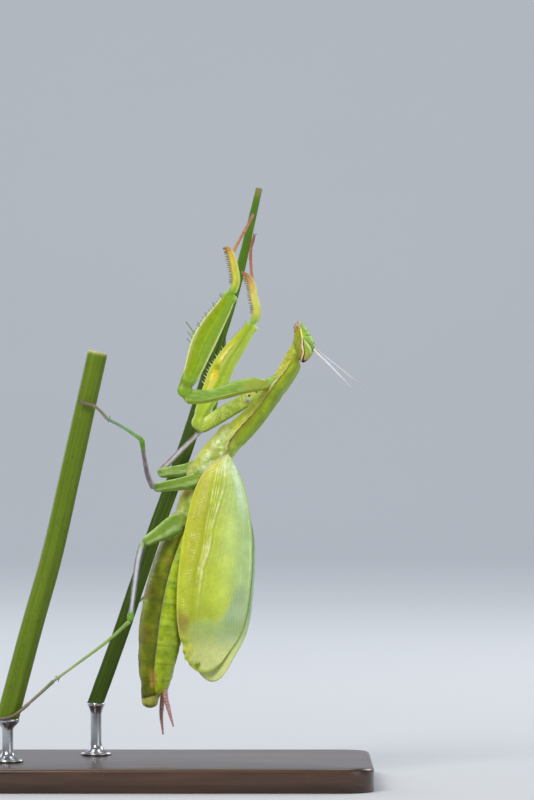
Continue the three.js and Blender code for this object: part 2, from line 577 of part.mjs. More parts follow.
const UPRIGHT = [0, 0, 1];
const TURNED = [-0.61, 0.71, 0.35]; // the right fore femur shows its spiny inner face
const LEGS = {
  foreleg_left: {
    coxa: [[15.3, -1.0, 66.2], [13.7, -3.0, 66.0], [8.2, -5.2, 64.85], [3.2, -6.8, 63.85], [1.5, -7.2, 63.5]],
    femur: [[1.9, -7.0, 65.6], [3.0, -6.6, 67.8], [4.7, -5.7, 72.4], [6.1, -4.8, 75.1], [8.1, -3.7, 78.4],
      [9.4, -3.0, 80.7]],
    tibia: [[10.1, -2.7, 82.6], [9.8, -2.3, 85.0], [9.3, -1.9, 87.0], [8.7, -1.7, 88.1], [7.9, -1.6, 88.1]],
    tarsus: [[10.9, 1.2, 90.1], [12.2, 4.4, 92.6], [12.9, 6.3, 94.1]],
    tarsusRoot: [9.5, -1.7, 87.4],
  },
  foreleg_right: {
    coxa: [[15.0, 1.0, 65.7], [13.4, 2.8, 64.2], [8.7, 3.9, 61.4], [4.6, 4.4, 58.9], [3.6, 4.5, 58.3]],
    femur: [[4.1, 4.5, 60.6], [6.4, 4.5, 64.8], [8.7, 4.5, 69.5], [10.9, 4.5, 72.9], [13.0, 4.5, 75.9]],
    across: { femur: TURNED },
    tibia: [[13.5, 4.6, 78.0], [13.1, 4.7, 80.0], [12.8, 4.8, 81.8], [12.1, 4.9, 83.5], [10.9, 4.8, 84.5]],
    tarsus: [[12.5, 6.2, 85.6], [12.5, 6.6, 88.3], [13.1, 6.6, 90.6]],
    tarsusRoot: [12.8, 5.0, 82.8],
  },
  midleg_left: {
    coxa: [[4.1, -2.0, 50.5], [2.5, -3.4, 49.7], [-0.5, -4.2, 49.2], [-3.5, -4.9, 48.8]],
    femur: [[-4.3, -8.0, 51.0], [-4.8, -11.6, 54.0], [-5.1, -14.8, 56.8]],
    tibia: [[-8.1, -11.4, 58.7], [-10.9, -8.4, 60.1]],
    tarsus: [[-12.0, -8.6, 61.4], [-13.0, -8.9, 62.2], [-14.4, -9.2, 62.6], [-15.4, -9.1, 62.9]],
  },
  midleg_right: {
    coxa: [[3.8, 2.0, 52.3], [2.1, 3.2, 51.6], [-0.5, 3.8, 51.3], [-2.9, 4.2, 51.0]],
    femur: [[-0.8, 4.9, 53.1], [2.5, 5.6, 56.4], [4.6, 6.8, 58.5], [6.1, 9.6, 60.2]],
    tibia: [[7.3, 10.2, 65.7], [8.1, 10.0, 71.1]],
    tarsus: [[8.1, 9.5, 73.8], [8.7, 9.4, 76.4], [9.4, 9.4, 78.7]],
  },
  hindleg_left: {
    coxa: [[2.5, -2.2, 43.4], [0.5, -3.6, 42.6], [-2.5, -4.4, 41.2], [-5.2, -5.1, 39.7]],
    femur: [[-5.9, -8.2, 36.5], [-6.5, -12.0, 31.5], [-7.0, -15.0, 27.4]],
    tibia: [[-10.7, -13.6, 24.1], [-15.3, -11.6, 20.6], [-19.5, -10.0, 17.5]],
    tarsus: [[-22.9, -9.9, 14.4], [-25.9, -9.9, 11.9], [-27.6, -10.1, 11.3], [-28.9, -9.8, 11.2]],
  },
  hindleg_right: {
    coxa: [[2.5, 2.2, 43.4], [0.5, 3.5, 42.7], [-1.1, 4.3, 42.0], [-2.5, 4.8, 41.3]],
    femur: [[0.2, 8.5, 40.8], [1.9, 13.0, 39.0], [3.8, 18.0, 37.0]],
    tibia: [[-0.5, 15.8, 33.8], [-4.1, 12.9, 31.2], [-6.9, 10.3, 29.0]],
    tarsus: [[-7.9, 9.6, 26.1], [-8.9, 9.5, 23.3], [-9.7, 9.5, 21.1]],
  },
};

const SEGMENT_SHAPES = {
  foreleg: {
    coxa: { stations: FORE_COXA, sides: 8, rows: 6 },
    femur: { stations: FORE_FEMUR, sides: 12, rows: 10, section: FLATTENED },
    tibia: { stations: FORE_TIBIA, sides: 8, rows: 8 },
    tarsus: { stations: TARSUS, sides: 6, rows: 8, across: UPRIGHT },
  },
  midleg: {
    coxa: { stations: COXA, sides: 8, rows: 4, across: UPRIGHT },
    femur: { stations: MID_FEMUR, sides: 8, rows: 8, across: UPRIGHT },
    tibia: { stations: MID_TIBIA, sides: 8, rows: 6, across: UPRIGHT },
    tarsus: { stations: TARSUS, sides: 6, rows: 8, across: UPRIGHT },
  },
  hindleg: {
    coxa: { stations: COXA, sides: 8, rows: 4, across: UPRIGHT },
    femur: { stations: HIND_FEMUR, sides: 8, rows: 8, across: [1, 0, 0] },
    tibia: { stations: HIND_TIBIA, sides: 8, rows: 8, across: UPRIGHT },
    tarsus: { stations: TARSUS, sides: 6, rows: 9, across: UPRIGHT },
  },
};
const SEGMENT_COLOURS = {
  foreleg: { coxa: GREEN, femur: GREEN, tibia: YELLOW_GREEN, tarsus: 0xb98a6a },
  midleg: { coxa: GREEN, femur: GREY_LILAC, tibia: GREEN, tarsus: 0x8f8a80 },
  hindleg: { coxa: GREEN, femur: GREY_LILAC, tibia: GREEN, tarsus: 0x8f8a80 },
};
const CARRIERS = {
  foreleg: [prothorax], midleg: [mesothorax, prothorax, metathorax], hindleg: [metathorax, abdomen],
};

// The spines of each segment, seeded so that they vary. A turn is measured from the limb's inner side over
// its spiny underside, which faces the animal's front.
let seed = 7;
function vary(share) {
  seed = (seed * 16807) % 2147483647;
  return 1 + share * ((2 * seed) / 2147483647 - 1);
}

// A row of spines between two shares of the limb, the long ones every `every` spines.
function spineRow(shape, { count, from, to, turn, lean, lengths: [short, long], every = 2 }) {
  return Array.from({ length: count }, (_, i) => spineOn(shape, {
    share: THREE.MathUtils.lerp(from, to, i / (count - 1)),
    turn,
    lean,
    length: (i % every === 0 ? long : short) * vary(0.12),
  }));
}

const FORE_SPINES = {
  femur: [
    { count: 4, from: 0.44, to: 0.58, turn: 92, lean: 0.45, lengths: [1.2, 2.3], every: 3 },
    { count: 4, from: 0.64, to: 0.92, turn: 116, lean: 0.5, lengths: [0.9, 0.9] },
    { count: 10, from: 0.4, to: 0.95, turn: 64, lean: 0.45, lengths: [0.55, 0.85] },
  ],
  tibia: [
    { count: 8, from: 0.16, to: 0.76, turn: 112, lean: 0.45, lengths: [0.5, 0.6] },
    { count: 8, from: 0.2, to: 0.8, turn: 68, lean: 0.45, lengths: [0.5, 0.6] },
  ],
};

function foreSpines(shape, segment, hand) {
  return (FORE_SPINES[segment] || []).flatMap((row) => {
    const degrees = hand < 0 ? row.turn : 180 - row.turn;
    return spineRow(shape, { ...row, turn: THREE.MathUtils.degToRad(degrees) });
  });
}

// Two spurs at the foot end of a walking leg's tibia.
function spurs(shape) {
  return [-1, 1].map((hand) => spineOn(shape, {
    share: 0.95, turn: Math.PI / 2 + hand * 1.1, lean: 1.2, length: 0.7 * vary(0.1),
  }));
}

// Two claws spread from the end of a tarsus, flat on what it holds.
const CLAW = { length: 0.75, spread: 0.7, radius: 0.2 };
function claws(shape) {
  const frame = shape.frameAt(shape.length - CLAW.radius);
  const spread = frame.tangent.clone().cross(new THREE.Vector3(0, 1, 0)).normalize();
  return [-1, 1].map((hand) => {
    const direction = frame.tangent.clone().addScaledVector(spread, hand * CLAW.spread).normalize();
    return spine(frame.centre, direction, CLAW.length, CLAW.radius);
  });
}

const tegmenRoom = Object.fromEntries(HANDS.map(([side, hand]) => [side, wing(hand, TEGMEN, GAP)]));

Object.entries(LEGS).forEach(([leg, segments]) => {
  const [kind, side] = leg.split('_');
  const hand = side === 'left' ? -1 : 1;
  let taken = CARRIERS[kind].map((carrier) => carrier.solid(GAP));
  if (kind !== 'foreleg') taken.push(tegmenRoom[side]);
  let root = [];
  ['coxa', 'femur', 'tibia', 'tarsus'].forEach((segment) => {
    const start = segment === 'tarsus' && segments.tarsusRoot ? [segments.tarsusRoot] : root;
    const shape = limb({ points: [...start, ...segments[segment]], ...SEGMENT_SHAPES[kind][segment],
      ...(segments.across?.[segment] && { across: segments.across[segment] }) });
    const solid = clearOf(shape.solid(), ...taken);
    const extras = kind === 'foreleg' ? foreSpines(shape, segment, hand) : [];
    if (segment === 'tibia' && kind !== 'foreleg') extras.push(...spurs(shape));
    if (segment === 'tarsus') extras.push(...claws(shape));
    part(`${leg}_${segment}`, largest(joined(solid, extras)), colour(SEGMENT_COLOURS[kind][segment]));
    taken = [shape.solid(GAP)];
    root = segments[segment].slice(-1);
  });
});

// ---------------------------------------------------------------- cerci

const CERCUS = [[0, 0.42, 0.42], [0.3, 0.4, 0.4], [1, 0.14, 0.14]];
const CERCI = {
  left: [[-1.7, -1.0, 16.0], [-1.5, -1.5, 14.2], [-0.9, -2.0, 11.9], [-0.2, -2.4, 9.4]],
  right: [[-1.8, 1.0, 15.8], [-2.1, 1.5, 13.7], [-2.3, 1.9, 11.2], [-2.0, 2.2, 7.8]],
};

HANDS.forEach(([side]) => {
  const cercus = limb({ points: CERCI[side], stations: CERCUS, sides: 6, rows: 8 });
  const solid = clearOf(cercus.solid(), abdomen.solid(GAP), subgenitalPlate.solid(GAP));
  part(`cercus_${side}`, solid, colour(0xc98f84, 0.5));
});

export default mantis;
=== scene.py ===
import math
import random

import bpy
import numpy as np
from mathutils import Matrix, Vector


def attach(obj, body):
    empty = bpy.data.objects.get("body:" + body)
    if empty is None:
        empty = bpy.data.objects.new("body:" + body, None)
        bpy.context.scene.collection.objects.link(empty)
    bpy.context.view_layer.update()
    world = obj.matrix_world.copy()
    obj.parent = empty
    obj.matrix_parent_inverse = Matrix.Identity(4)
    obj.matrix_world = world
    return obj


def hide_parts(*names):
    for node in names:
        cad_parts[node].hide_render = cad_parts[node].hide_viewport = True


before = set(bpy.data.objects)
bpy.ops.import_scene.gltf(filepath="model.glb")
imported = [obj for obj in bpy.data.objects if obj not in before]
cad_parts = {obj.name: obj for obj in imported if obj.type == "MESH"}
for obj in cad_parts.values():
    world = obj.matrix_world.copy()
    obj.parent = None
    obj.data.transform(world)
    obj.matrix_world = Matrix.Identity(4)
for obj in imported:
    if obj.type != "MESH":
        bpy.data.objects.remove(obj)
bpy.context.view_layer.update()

MM = 0.001
chance = random.Random(11)

# ---------------------------------------------------------------- camera, stage and lights

VIEW_CENTRE = Vector((15.18, 0, 63.2)) * MM
VIEW_HEIGHT = 132 * MM
CAMERA_DISTANCE = 0.8

camera_data = bpy.data.cameras.new("camera")
camera_data.sensor_fit = "VERTICAL"
camera_data.sensor_height = 24
camera_data.lens = camera_data.sensor_height * CAMERA_DISTANCE / VIEW_HEIGHT
camera_data.clip_start = 0.01
camera = bpy.data.objects.new("camera", camera_data)
camera.location = VIEW_CENTRE + Vector((0, -CAMERA_DISTANCE, 0))
camera.rotation_euler = (math.pi / 2, 0, 0)
bpy.context.scene.collection.objects.link(camera)
bpy.context.scene.camera = camera
bpy.context.scene.view_settings.view_transform = "Standard"


def area_light(name, place, size, power, colour, aim=VIEW_CENTRE):
    """A soft square light that looks at the mantis or at another place."""
    data = bpy.data.lights.new(name, "AREA")
    data.size = size
    data.energy = power
    data.color = colour
    light = bpy.data.objects.new(name, data)
    light.location = place
    light.rotation_euler = (Vector(aim) - Vector(place)).to_track_quat("-Z", "Y").to_euler()
    bpy.context.scene.collection.objects.link(light)


area_light("key", (-0.3, -0.55, 0.55), 0.3, 4, (1, 0.97, 0.91))
area_light("fill", (0.6, -0.5, 0.2), 0.5, 0.9, (0.96, 0.98, 1))
area_light("rim", (0.45, 0.35, 0.35), 0.3, 1.5, (1, 0.98, 0.95))
area_light("back", (-0.45, 0.45, 0.3), 0.4, 0.8, (0.96, 0.98, 1))
area_light("backdrop", (0, 0.5, 1.4), 0.9, 13, (0.93, 0.96, 1), (0, 1.7, 0.2))

world = bpy.data.worlds.new("studio")
world.use_nodes = True
world.node_tree.nodes["Background"].inputs["Color"].default_value = (0.86, 0.87, 0.9, 1)
world.node_tree.nodes["Background"].inputs["Strength"].default_value = 0.35
bpy.context.scene.world = world

# ---------------------------------------------------------------- numbers and colours


def smooth(x, low, high):
    """0 below low, 1 above high, and a soft step between."""
    t = np.clip((np.asarray(x, float) - low) / (high - low), 0, 1)
    return t * t * (3 - 2 * t)


def band(x, centre, half, soft):
    """1 within half of the centre, fading to 0 over the soft width."""
    return 1 - smooth(np.abs(np.asarray(x, float) - centre), half, half + soft)


def mix(a, b, share):
    """Blends two colours or arrays of colours by an array of shares."""
    share = np.asarray(share, float)[..., None]
    return np.asarray(a, float) * (1 - share) + np.asarray(b, float) * share


def rgb(hex_code):
    return np.array([(hex_code >> 16) & 255, (hex_code >> 8) & 255, hex_code & 255]) / 255


def linear(colour):
    colour = np.clip(colour, 0, 1)
    return np.where(colour <= 0.04045, colour / 12.92, ((colour + 0.055) / 1.055) ** 2.4)


def noise(places, size, seed, squeeze=(1, 1, 1)):
    """Smooth noise from -1 to 1 whose grains are as large as size, and longer where squeeze is below 1."""
    spot = places * np.array(squeeze) / size + seed * 7.31
    cell = np.floor(spot).astype(np.int64)
    part = spot - cell
    part = part * part * (3 - 2 * part)
    total = 0
    for corner in range(8):
        step = np.array([corner & 1, (corner >> 1) & 1, corner >> 2])
        key = (cell + step) @ np.array([374761393, 668265263, 1274126177]) + seed * 69069
        key = (key ^ (key >> 13)) * 1103515245 & 0x7FFFFFFF
        key = (key ^ (key >> 11)) * 12820163 & 0x7FFFFFFF
        weight = np.prod(np.where(step, part, 1 - part), axis=-1)
        total = total + weight * (key / 0x3FFFFFFF - 1)
    return total


def patches(places, size, seed, low, high, squeeze=(1, 1, 1)):
    """Soft patches: 1 where the noise is past high and 0 where it is short of low."""
    return smooth(noise(places, size, seed, squeeze), low, high)


def catmull(points):
    """The centripetal curve through points, as a function of its parameter."""
    p = np.array(points, float)
    reach = np.vstack([2 * p[0] - p[1], p, 2 * p[-1] - p[-2]])

    def at(t):
        t = np.clip(np.asarray(t, float), 0, 1) * (len(p) - 1)
        i = np.minimum(t.astype(int), len(p) - 2)
        w = (t - i)[..., None]
        a, b, c, d = (reach[i + k] for k in range(4))
        step = [np.maximum(((q - r) ** 2).sum(-1) ** 0.25, 1e-4)[..., None] for q, r in ((a, b), (b, c), (c, d))]
        leave = ((b - a) / step[0] - (c - a) / (step[0] + step[1]) + (c - b) / step[1]) * step[1]
        arrive = ((c - b) / step[1] - (d - b) / (step[1] + step[2]) + (d - c) / step[2]) * step[1]
        bend = 3 * (c - b) - 2 * leave - arrive
        return b + leave * w + bend * w**2 + (2 * (b - c) + leave + arrive) * w**3

    return at


def profile(stations):
    """A smooth function through stations [share, value, value, ...]; its last axis is the values."""
    s = np.array(stations, float)
    x, y = s[:, 0], s[:, 1:]
    slope = np.diff(y, axis=0) / np.diff(x)[:, None]
    product = slope[:-1] * slope[1:]
    total = slope[:-1] + slope[1:]
    inner = np.where(product > 0, 2 * product / np.where(np.abs(total) > 1e-12, total, 1), 0)
    tangent = np.vstack([slope[:1], inner, slope[-1:]])

    def at(share):
        share = np.clip(np.asarray(share, float), x[0], x[-1])
        i = np.clip(np.searchsorted(x, share, side="right") - 1, 0, len(x) - 2)
        width = (x[i + 1] - x[i])[..., None]
        t = (share - x[i])[..., None] / width
        rise = t * t * (3 - 2 * t)
        bent = t * (1 - t) ** 2 * tangent[i] * width + t * t * (t - 1) * tangent[i + 1] * width
        return y[i] + (y[i + 1] - y[i]) * rise + bent

    return at


def line(stations):
    """A profile with one value."""
    at = profile(stations)
    return lambda share: at(share)[..., 0]


# ---------------------------------------------------------------- materials


def join(tree, node, inputs):
    """Sets a node's inputs to values, or links them to other nodes' outputs."""
    for key, value in inputs.items():
        if isinstance(value, bpy.types.NodeSocket):
            tree.links.new(value, node.inputs[key])
        else:
            node.inputs[key].default_value = value


def add_node(tree, kind, inputs, output=0, **settings):
    """Adds a node and gives back one of its outputs."""
    node = tree.nodes.new("ShaderNode" + kind)
    for key, value in settings.items():
        setattr(node, key, value)
    join(tree, node, inputs)
    return node.outputs[output]


def paint_of(tone):
    return (*linear(rgb(tone)), 1)


def material(name, rough=None, bump=(), blotch=(1200, 0.12), scatter=0, coat=0, metal=0, spec=0.5,
             colour=None, radius=(1, 1, 0.5), depth=0.0006, net=None, grain=None):
    """A node material. Its colour is the mesh's tint, or `colour`, made uneven by noise of [scale, strength];
    each bump is [noise scale, height in metres], and the tint's alpha is the roughness unless one is given.
    A net of [scale, colour, height] draws the walls of small cells where the mesh's `net` is above 0.
    A grain of [scale, dark, light] draws long wavy rings of wood."""
    made = bpy.data.materials.new(name)
    made.use_nodes = True
    tree = made.node_tree
    place = add_node(tree, "TexCoord", {}, "Object")
    blotches = add_node(tree, "TexNoise", {"Scale": blotch[0], "Detail": 5, "Vector": place})
    level = add_node(tree, "MapRange", {"To Min": 1 - blotch[1], "To Max": 1 + blotch[1], "Value": blotches})
    if colour is not None:
        ground = paint_of(colour)
    elif grain is not None:
        stretched = add_node(tree, "Mapping", {"Scale": (0.06, 1, 1), "Vector": place})
        rings = add_node(tree, "TexNoise", {"Scale": grain[0], "Detail": 6, "Distortion": 0.6, "Vector": stretched})
        ground = add_node(tree, "ValToRGB", {"Fac": rings})
        for stop, position, tone in zip(ground.node.color_ramp.elements, (0.35, 0.68), grain[1:]):
            stop.position, stop.color = position, paint_of(tone)
    else:
        ground = add_node(tree, "VertexColor", {}, layer_name="tint")
        if rough is None:
            rough = ground.node.outputs["Alpha"]
    tint = add_node(tree, "Mix", {"Factor": 1, "A": ground, "B": level}, "Result", data_type="RGBA",
                    blend_type="MULTIPLY")
    relief = {}
    if net:
        cells = add_node(tree, "TexVoronoi", {"Scale": net[0], "Vector": place}, feature="DISTANCE_TO_EDGE")
        wall = add_node(tree, "MapRange", {"From Min": 0.03, "From Max": 0.2, "To Min": 1, "To Max": 0,
                                           "Value": cells})
        mask = add_node(tree, "Attribute", {}, "Fac", attribute_name="net")
        drawn = add_node(tree, "Math", {0: wall, 1: mask}, operation="MULTIPLY")
        tint = add_node(tree, "Mix", {"Factor": drawn, "A": tint, "B": paint_of(net[1])}, "Result",
                        data_type="RGBA")
        relief = {"Normal": add_node(tree, "Bump", {"Distance": net[2], "Height": drawn})}
    for scale, height in bump:
        grains = add_node(tree, "TexNoise", {"Scale": scale, "Detail": 3, "Vector": place})
        relief = {"Normal": add_node(tree, "Bump", {"Distance": height, "Strength": 1, "Height": grains, **relief})}
    join(tree, tree.nodes["Principled BSDF"], {
        "Base Color": tint, "Roughness": rough, "Subsurface Weight": scatter, "Subsurface Radius": radius,
        "Subsurface Scale": depth, "Coat Weight": coat, "Coat Roughness": 0.2, "Metallic": metal,
        "Specular IOR Level": spec, **relief})
    return made


SKIN = material("mantis_skin", bump=((2600, 0.00002), (9000, 0.000008)), blotch=(900, 0.1), scatter=0.25,
                coat=0.04, spec=0.28, radius=(0.9, 1, 0.25))
SPINE = material("spine", rough=0.3, bump=((6000, 0.000006),), blotch=(1500, 0.15), scatter=0.2)
EYE = material("eye", rough=0.34, bump=((14000, 0.000004),), blotch=(2500, 0.12), coat=0.05, spec=0.3)
WING = material("wing_membrane", bump=((1500, 0.00003), (6000, 0.000012)), blotch=(700, 0.08), scatter=0.2,
                radius=(1, 1, 0.4), depth=0.0004, spec=0.35, net=(4300, 0xEEF0A0, 0.00002))
STEM = material("stem", bump=((1800, 0.000015),), blotch=(500, 0.12), scatter=0.08, spec=0.3)
FEELER = material("feeler", bump=((5000, 0.00001),), blotch=(2000, 0.15), scatter=0.2)
WOOD = material("base_wood", rough=0.32, grain=(420, 0x2A180F, 0x5A3A24), bump=((900, 0.00001),),
                blotch=(300, 0.1), coat=0.4)
STEEL = material("rod_steel", rough=0.24, colour=0xB4B7BC, bump=((4000, 0.000004),), blotch=(800, 0.06), metal=1)
STAGE = material("studio_floor", rough=0.8, colour=0xC6CAD0, bump=((60, 0.0001),), blotch=(3, 0.03))

# ---------------------------------------------------------------- meshes


def make_mesh(name, places, faces, look):
    mesh = bpy.data.meshes.new(name)
    mesh.from_pydata((np.asarray(places) * MM).tolist(), [], faces)
    mesh.shade_smooth()
    mesh.materials.append(look)
    made = bpy.data.objects.new(name, mesh)
    bpy.context.scene.collection.objects.link(made)
    return made


def make_piece(name, places, faces, colours, look, replaced, slot, net=None):
    """A smooth piece that rides on the body. Colours are sRGB with a roughness as fourth value."""
    piece = make_mesh(name, places, faces, look)
    if colours is not None:
        shade = np.hstack([linear(colours[:, :3]), colours[:, 3:]]).astype(np.float32)
        piece.data.color_attributes.new("tint", "FLOAT_COLOR", "POINT").data.foreach_set("color", shade.ravel())
    if net is not None:
        piece.data.attributes.new("net", "FLOAT", "POINT").data.foreach_set("value", net.astype(np.float32).ravel())
    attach(piece, "root")
    if replaced:
        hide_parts(*replaced)


class Pile:
    """Closed surfaces gathered for one piece."""

    def __init__(self):
        self.places, self.faces, self.colours, self.count = [], [], [], 0

    def add(self, places, faces, colours):
        self.places.append(places)
        self.faces.extend([[self.count + i for i in face] for face in faces])
        self.colours.append(colours)
        self.count += len(places)

    def make(self, name, look, replaced, slot):
        make_piece(name, np.vstack(self.places), self.faces, np.vstack(self.colours), look, replaced, slot)


def closed(rings, tips):
    """Places and faces of a tube through rings of corners and the points that close its two ends."""
    rings = np.asarray(rings)
    count, sides = rings.shape[:2]
    faces = []
    for i in range(count - 1):
        for j in range(sides):
            k = (j + 1) % sides
            faces.append([i * sides + j, i * sides + k, (i + 1) * sides + k, (i + 1) * sides + j])
    last = (count - 1) * sides
    for j in range(sides):
        k = (j + 1) % sides
        faces += [[count * sides, k, j], [count * sides + 1, last + j, last + k]]
    return np.vstack([rings.reshape(-1, 3), tips]), faces


def turns(sides):
    """The turns of a ring's corners."""
    return np.arange(sides) / sides * 2 * np.pi


def round_section(turn):
    return np.cos(turn), np.sin(turn)


def flattened(turn):
    return np.sign(np.cos(turn)) * np.abs(np.cos(turn)) ** 0.6, np.sin(turn)


def from_half(half):
    """A section from its right half, listed from the back to the belly, rounded between its corners."""
    h = np.array(half, float)
    mirror = np.array([-1, 1])
    reach = np.vstack([h[1] * mirror, h, h[-2] * mirror])

    def at(turn):
        place = np.arccos(np.clip(np.sin(turn), -1, 1)) / np.pi * (len(h) - 1)
        i = np.minimum(place.astype(int), len(h) - 2)
        w = (place - i)[..., None]
        a, b, c, d = (reach[i + k] for k in range(4))
        spot = 0.5 * (2 * b + (c - a) * w + (2 * a - 5 * b + 4 * c - d) * w**2 + (3 * (b - c) + d - a) * w**3)
        return np.where(np.cos(turn) < 0, -1, 1) * spot[..., 0], spot[..., 1]

    return at


SHIELD = from_half([[0, 1], [0.36, 0.86], [0.7, 0.6], [0.93, 0.2], [1, -0.16], [0.96, -0.34], [0.72, -0.56],
                    [0.4, -0.86], [0, -1]])
SEGMENTED = from_half([[0, 1], [0.31, 0.95], [0.59, 0.81], [0.8, 0.6], [0.94, 0.36], [0.99, 0.12],
                       [0.92, -0.08], [0.96, -0.3], [0.83, -0.6], [0.5, -0.88], [0, -1]])
FOLDED = from_half([[0, 0.55], [0.9, 0.9], [1, 0.4], [0.75, -0.6], [0, -1]])

CAP_RINGS, PATH_SAMPLES, NEAR_SAMPLES = 7, 401, 90


class Limb:
    """A tube along a smooth path, as wide and deep as its stations [share, half width, half depth] say.
    A station without a half depth is round."""

    def __init__(self, points, stations, across=(0, 1, 0), section=round_section, caps=(1, 1)):
        self.path = catmull(points)
        self.across = np.array(across, float)
        self.section = section
        self.caps = caps
        self.sizes = profile([[*station, station[1]][:3] for station in stations])
        spots = self.path(np.linspace(0, 1, PATH_SAMPLES))
        walked = np.concatenate([[0], np.cumsum(np.linalg.norm(np.diff(spots, axis=0), axis=1))])
        self.length = walked[-1]
        self.parameter = lambda share: np.interp(share, walked / walked[-1], np.linspace(0, 1, PATH_SAMPLES))

    def frame_at(self, share):
        """Centre, tangent, wide and deep directions at shares of the length, also a little beyond its ends."""
        share = np.asarray(share, float)
        held = np.clip(share, 0, 1)
        t = self.parameter(held)
        before, after = self.path(np.clip(t - 2e-3, 0, 1)), self.path(np.clip(t + 2e-3, 0, 1))
        tangent = after - before
        tangent /= np.linalg.norm(tangent, axis=-1, keepdims=True)
        centre = self.path(t) + tangent * ((share - held) * self.length)[..., None]
        wide = self.across - tangent * (tangent @ self.across)[..., None]
        wide /= np.linalg.norm(wide, axis=-1, keepdims=True)
        return centre, tangent, wide, np.cross(tangent, wide)

    def ends(self):
        """The shares of the length that its two rounded ends take."""
        return [float(self.sizes(k).max()) * self.caps[k] / self.length for k in (0, 1)]

    def rings(self, count):
        """Shares of the length and scales of the rings, the rounded ends among them."""
        ends = self.ends()
        steps = np.arange(1, CAP_RINGS + 1) / (CAP_RINGS + 1) * np.pi / 2
        shares, scales = [np.linspace(ends[0], 1 - ends[1], count)], [np.ones(count)]
        if ends[0]:
            shares.insert(0, ends[0] * (1 - np.cos(steps)))
            scales.insert(0, np.sin(steps))
        if ends[1]:
            shares.append(1 - ends[1] * (1 - np.cos(steps[::-1])))
            scales.append(np.sin(steps[::-1]))
        return np.concatenate(shares), np.concatenate(scales)

    def surface(self, share, turn, scale=1, rise=0):
        """Places at shares and turns, which broadcast together, raised from the wall by `rise`."""
        share, turn = np.broadcast_arrays(np.asarray(share, float), np.asarray(turn, float))
        centre, _, wide, deep = self.frame_at(share)
        sizes = self.sizes(np.clip(share, 0, 1))
        u, v = self.section(turn)
        out = wide * (u * sizes[..., 0] * scale)[..., None] + deep * (v * sizes[..., 1] * scale)[..., None]
        reach = np.linalg.norm(out, axis=-1, keepdims=True)
        return centre + out * (1 + np.asarray(rise)[..., None] / np.maximum(reach, 1e-6))

    def root(self, share, turn, lean):
        """The root and the direction of a spine on the wall that leans to the tip."""
        _, tangent, wide, deep = self.frame_at([share])
        return self.surface([share], [turn])[0], (wide * math.cos(turn) + deep * math.sin(turn) + tangent * lean)[0]

    def wall(self, angle):
        """How far the section's wall is from its middle in directions, and the turn there."""
        turn = turns(720)
        u, v = self.section(turn)
        order = np.argsort(np.arctan2(v, u))
        heading = np.arctan2(v, u)[order]
        reach = np.interp(angle, heading, np.hypot(u, v)[order], period=2 * np.pi)
        return reach, np.interp(angle, heading, np.unwrap(turn[order]))

    def locate(self, places):
        """About how far places lie outside the wall, and the share and turn of the wall next to them."""
        samples = np.linspace(0, 1, NEAR_SAMPLES)
        spots = self.frame_at(samples)[0]
        near = np.concatenate([((part[:, None, :] - spots) ** 2).sum(-1).argmin(1)
                               for part in np.array_split(places, max(1, len(places) // 4000))])
        share = samples[near]
        for _ in range(2):
            centre, tangent, _, _ = self.frame_at(share)
            share = share + ((places - centre) * tangent).sum(-1) / self.length
        low, high = self.ends()
        inner = np.clip(share, low, 1 - high)
        centre, tangent, wide, deep = self.frame_at(inner)
        out = places - centre
        beyond = np.abs(share - inner) / np.where(share < inner, max(low, 1e-6), max(high, 1e-6))
        sizes = self.sizes(inner)
        across, down = (out * wide).sum(-1), (out * deep).sum(-1)
        a, b = across / sizes[:, 0], down / sizes[:, 1]
        wall, turn = self.wall(np.arctan2(b, a))
        part = np.hypot(a, b)
        radius = wall * np.where(part > 1e-6, np.hypot(across, down) / np.maximum(part, 1e-6), sizes.min(1))
        return (np.sqrt((part / wall) ** 2 + beyond**2) - 1) * radius, inner, turn

    def mesh(self, rings, sides, paint, relief=None):
        shares, scales = self.rings(rings)
        share, turn = np.meshgrid(shares, turns(sides), indexing="ij")
        scale = scales[:, None] * np.ones_like(turn)
        flat = self.surface(share, turn, scale)
        rise = relief(share, turn, flat) * np.minimum(scale * 1.5, 1) if relief else np.zeros_like(share)
        places = self.surface(share, turn, scale, rise)
        colours = paint(share, turn, places)
        ends = [colours[0].mean(0), colours[-1].mean(0)]
        return *closed(places, self.frame_at([0, 1])[0]), np.vstack([colours.reshape(-1, 4), ends])


def with_rough(colour, rough):
    """Adds a roughness to an array of colours."""
    rough = np.broadcast_to(np.asarray(rough, float), colour.shape[:-1])
    return np.concatenate([colour, rough[..., None]], -1)


def layers(ground, *coats):
    """Lays coats of (tone, share) over a tone or colours. A coat without a tone lightens by its share."""
    colour = rgb(ground) if isinstance(ground, int) else ground
    for tone, share in coats:
        colour = colour * share[..., None] if tone is None else mix(colour, rgb(tone), share)
    return colour


def painted(ground, rough, *coats):
    """Layers of colour with a roughness."""
    return with_rough(layers(ground, *coats), rough)


def plain(*tones, rough=0.45):
    """A paint that runs through tones from root to tip."""
    tones = np.array([rgb(tone) for tone in tones])

    def paint(share, turn, places):
        spot = np.clip(share, 0, 1) * (len(tones) - 1)
        i = np.minimum(spot.astype(int), len(tones) - 2) if len(tones) > 1 else np.zeros(spot.shape, int)
        colour = mix(tones[i], tones[np.minimum(i + 1, len(tones) - 1)], np.clip(spot - i, 0, 1))
        colour = colour * (1 + 0.06 * noise(places, 0.7, 3))[..., None]
        return with_rough(colour, rough)

    return paint


def grid_normals(grid):
    """Outward directions at the corners of rings, by ring and side."""
    around = np.roll(grid, -1, axis=1) - np.roll(grid, 1, axis=1)
    along = np.gradient(grid, axis=0)
    normal = np.cross(around, along)
    return normal / np.maximum(np.linalg.norm(normal, axis=-1, keepdims=True), 1e-9)


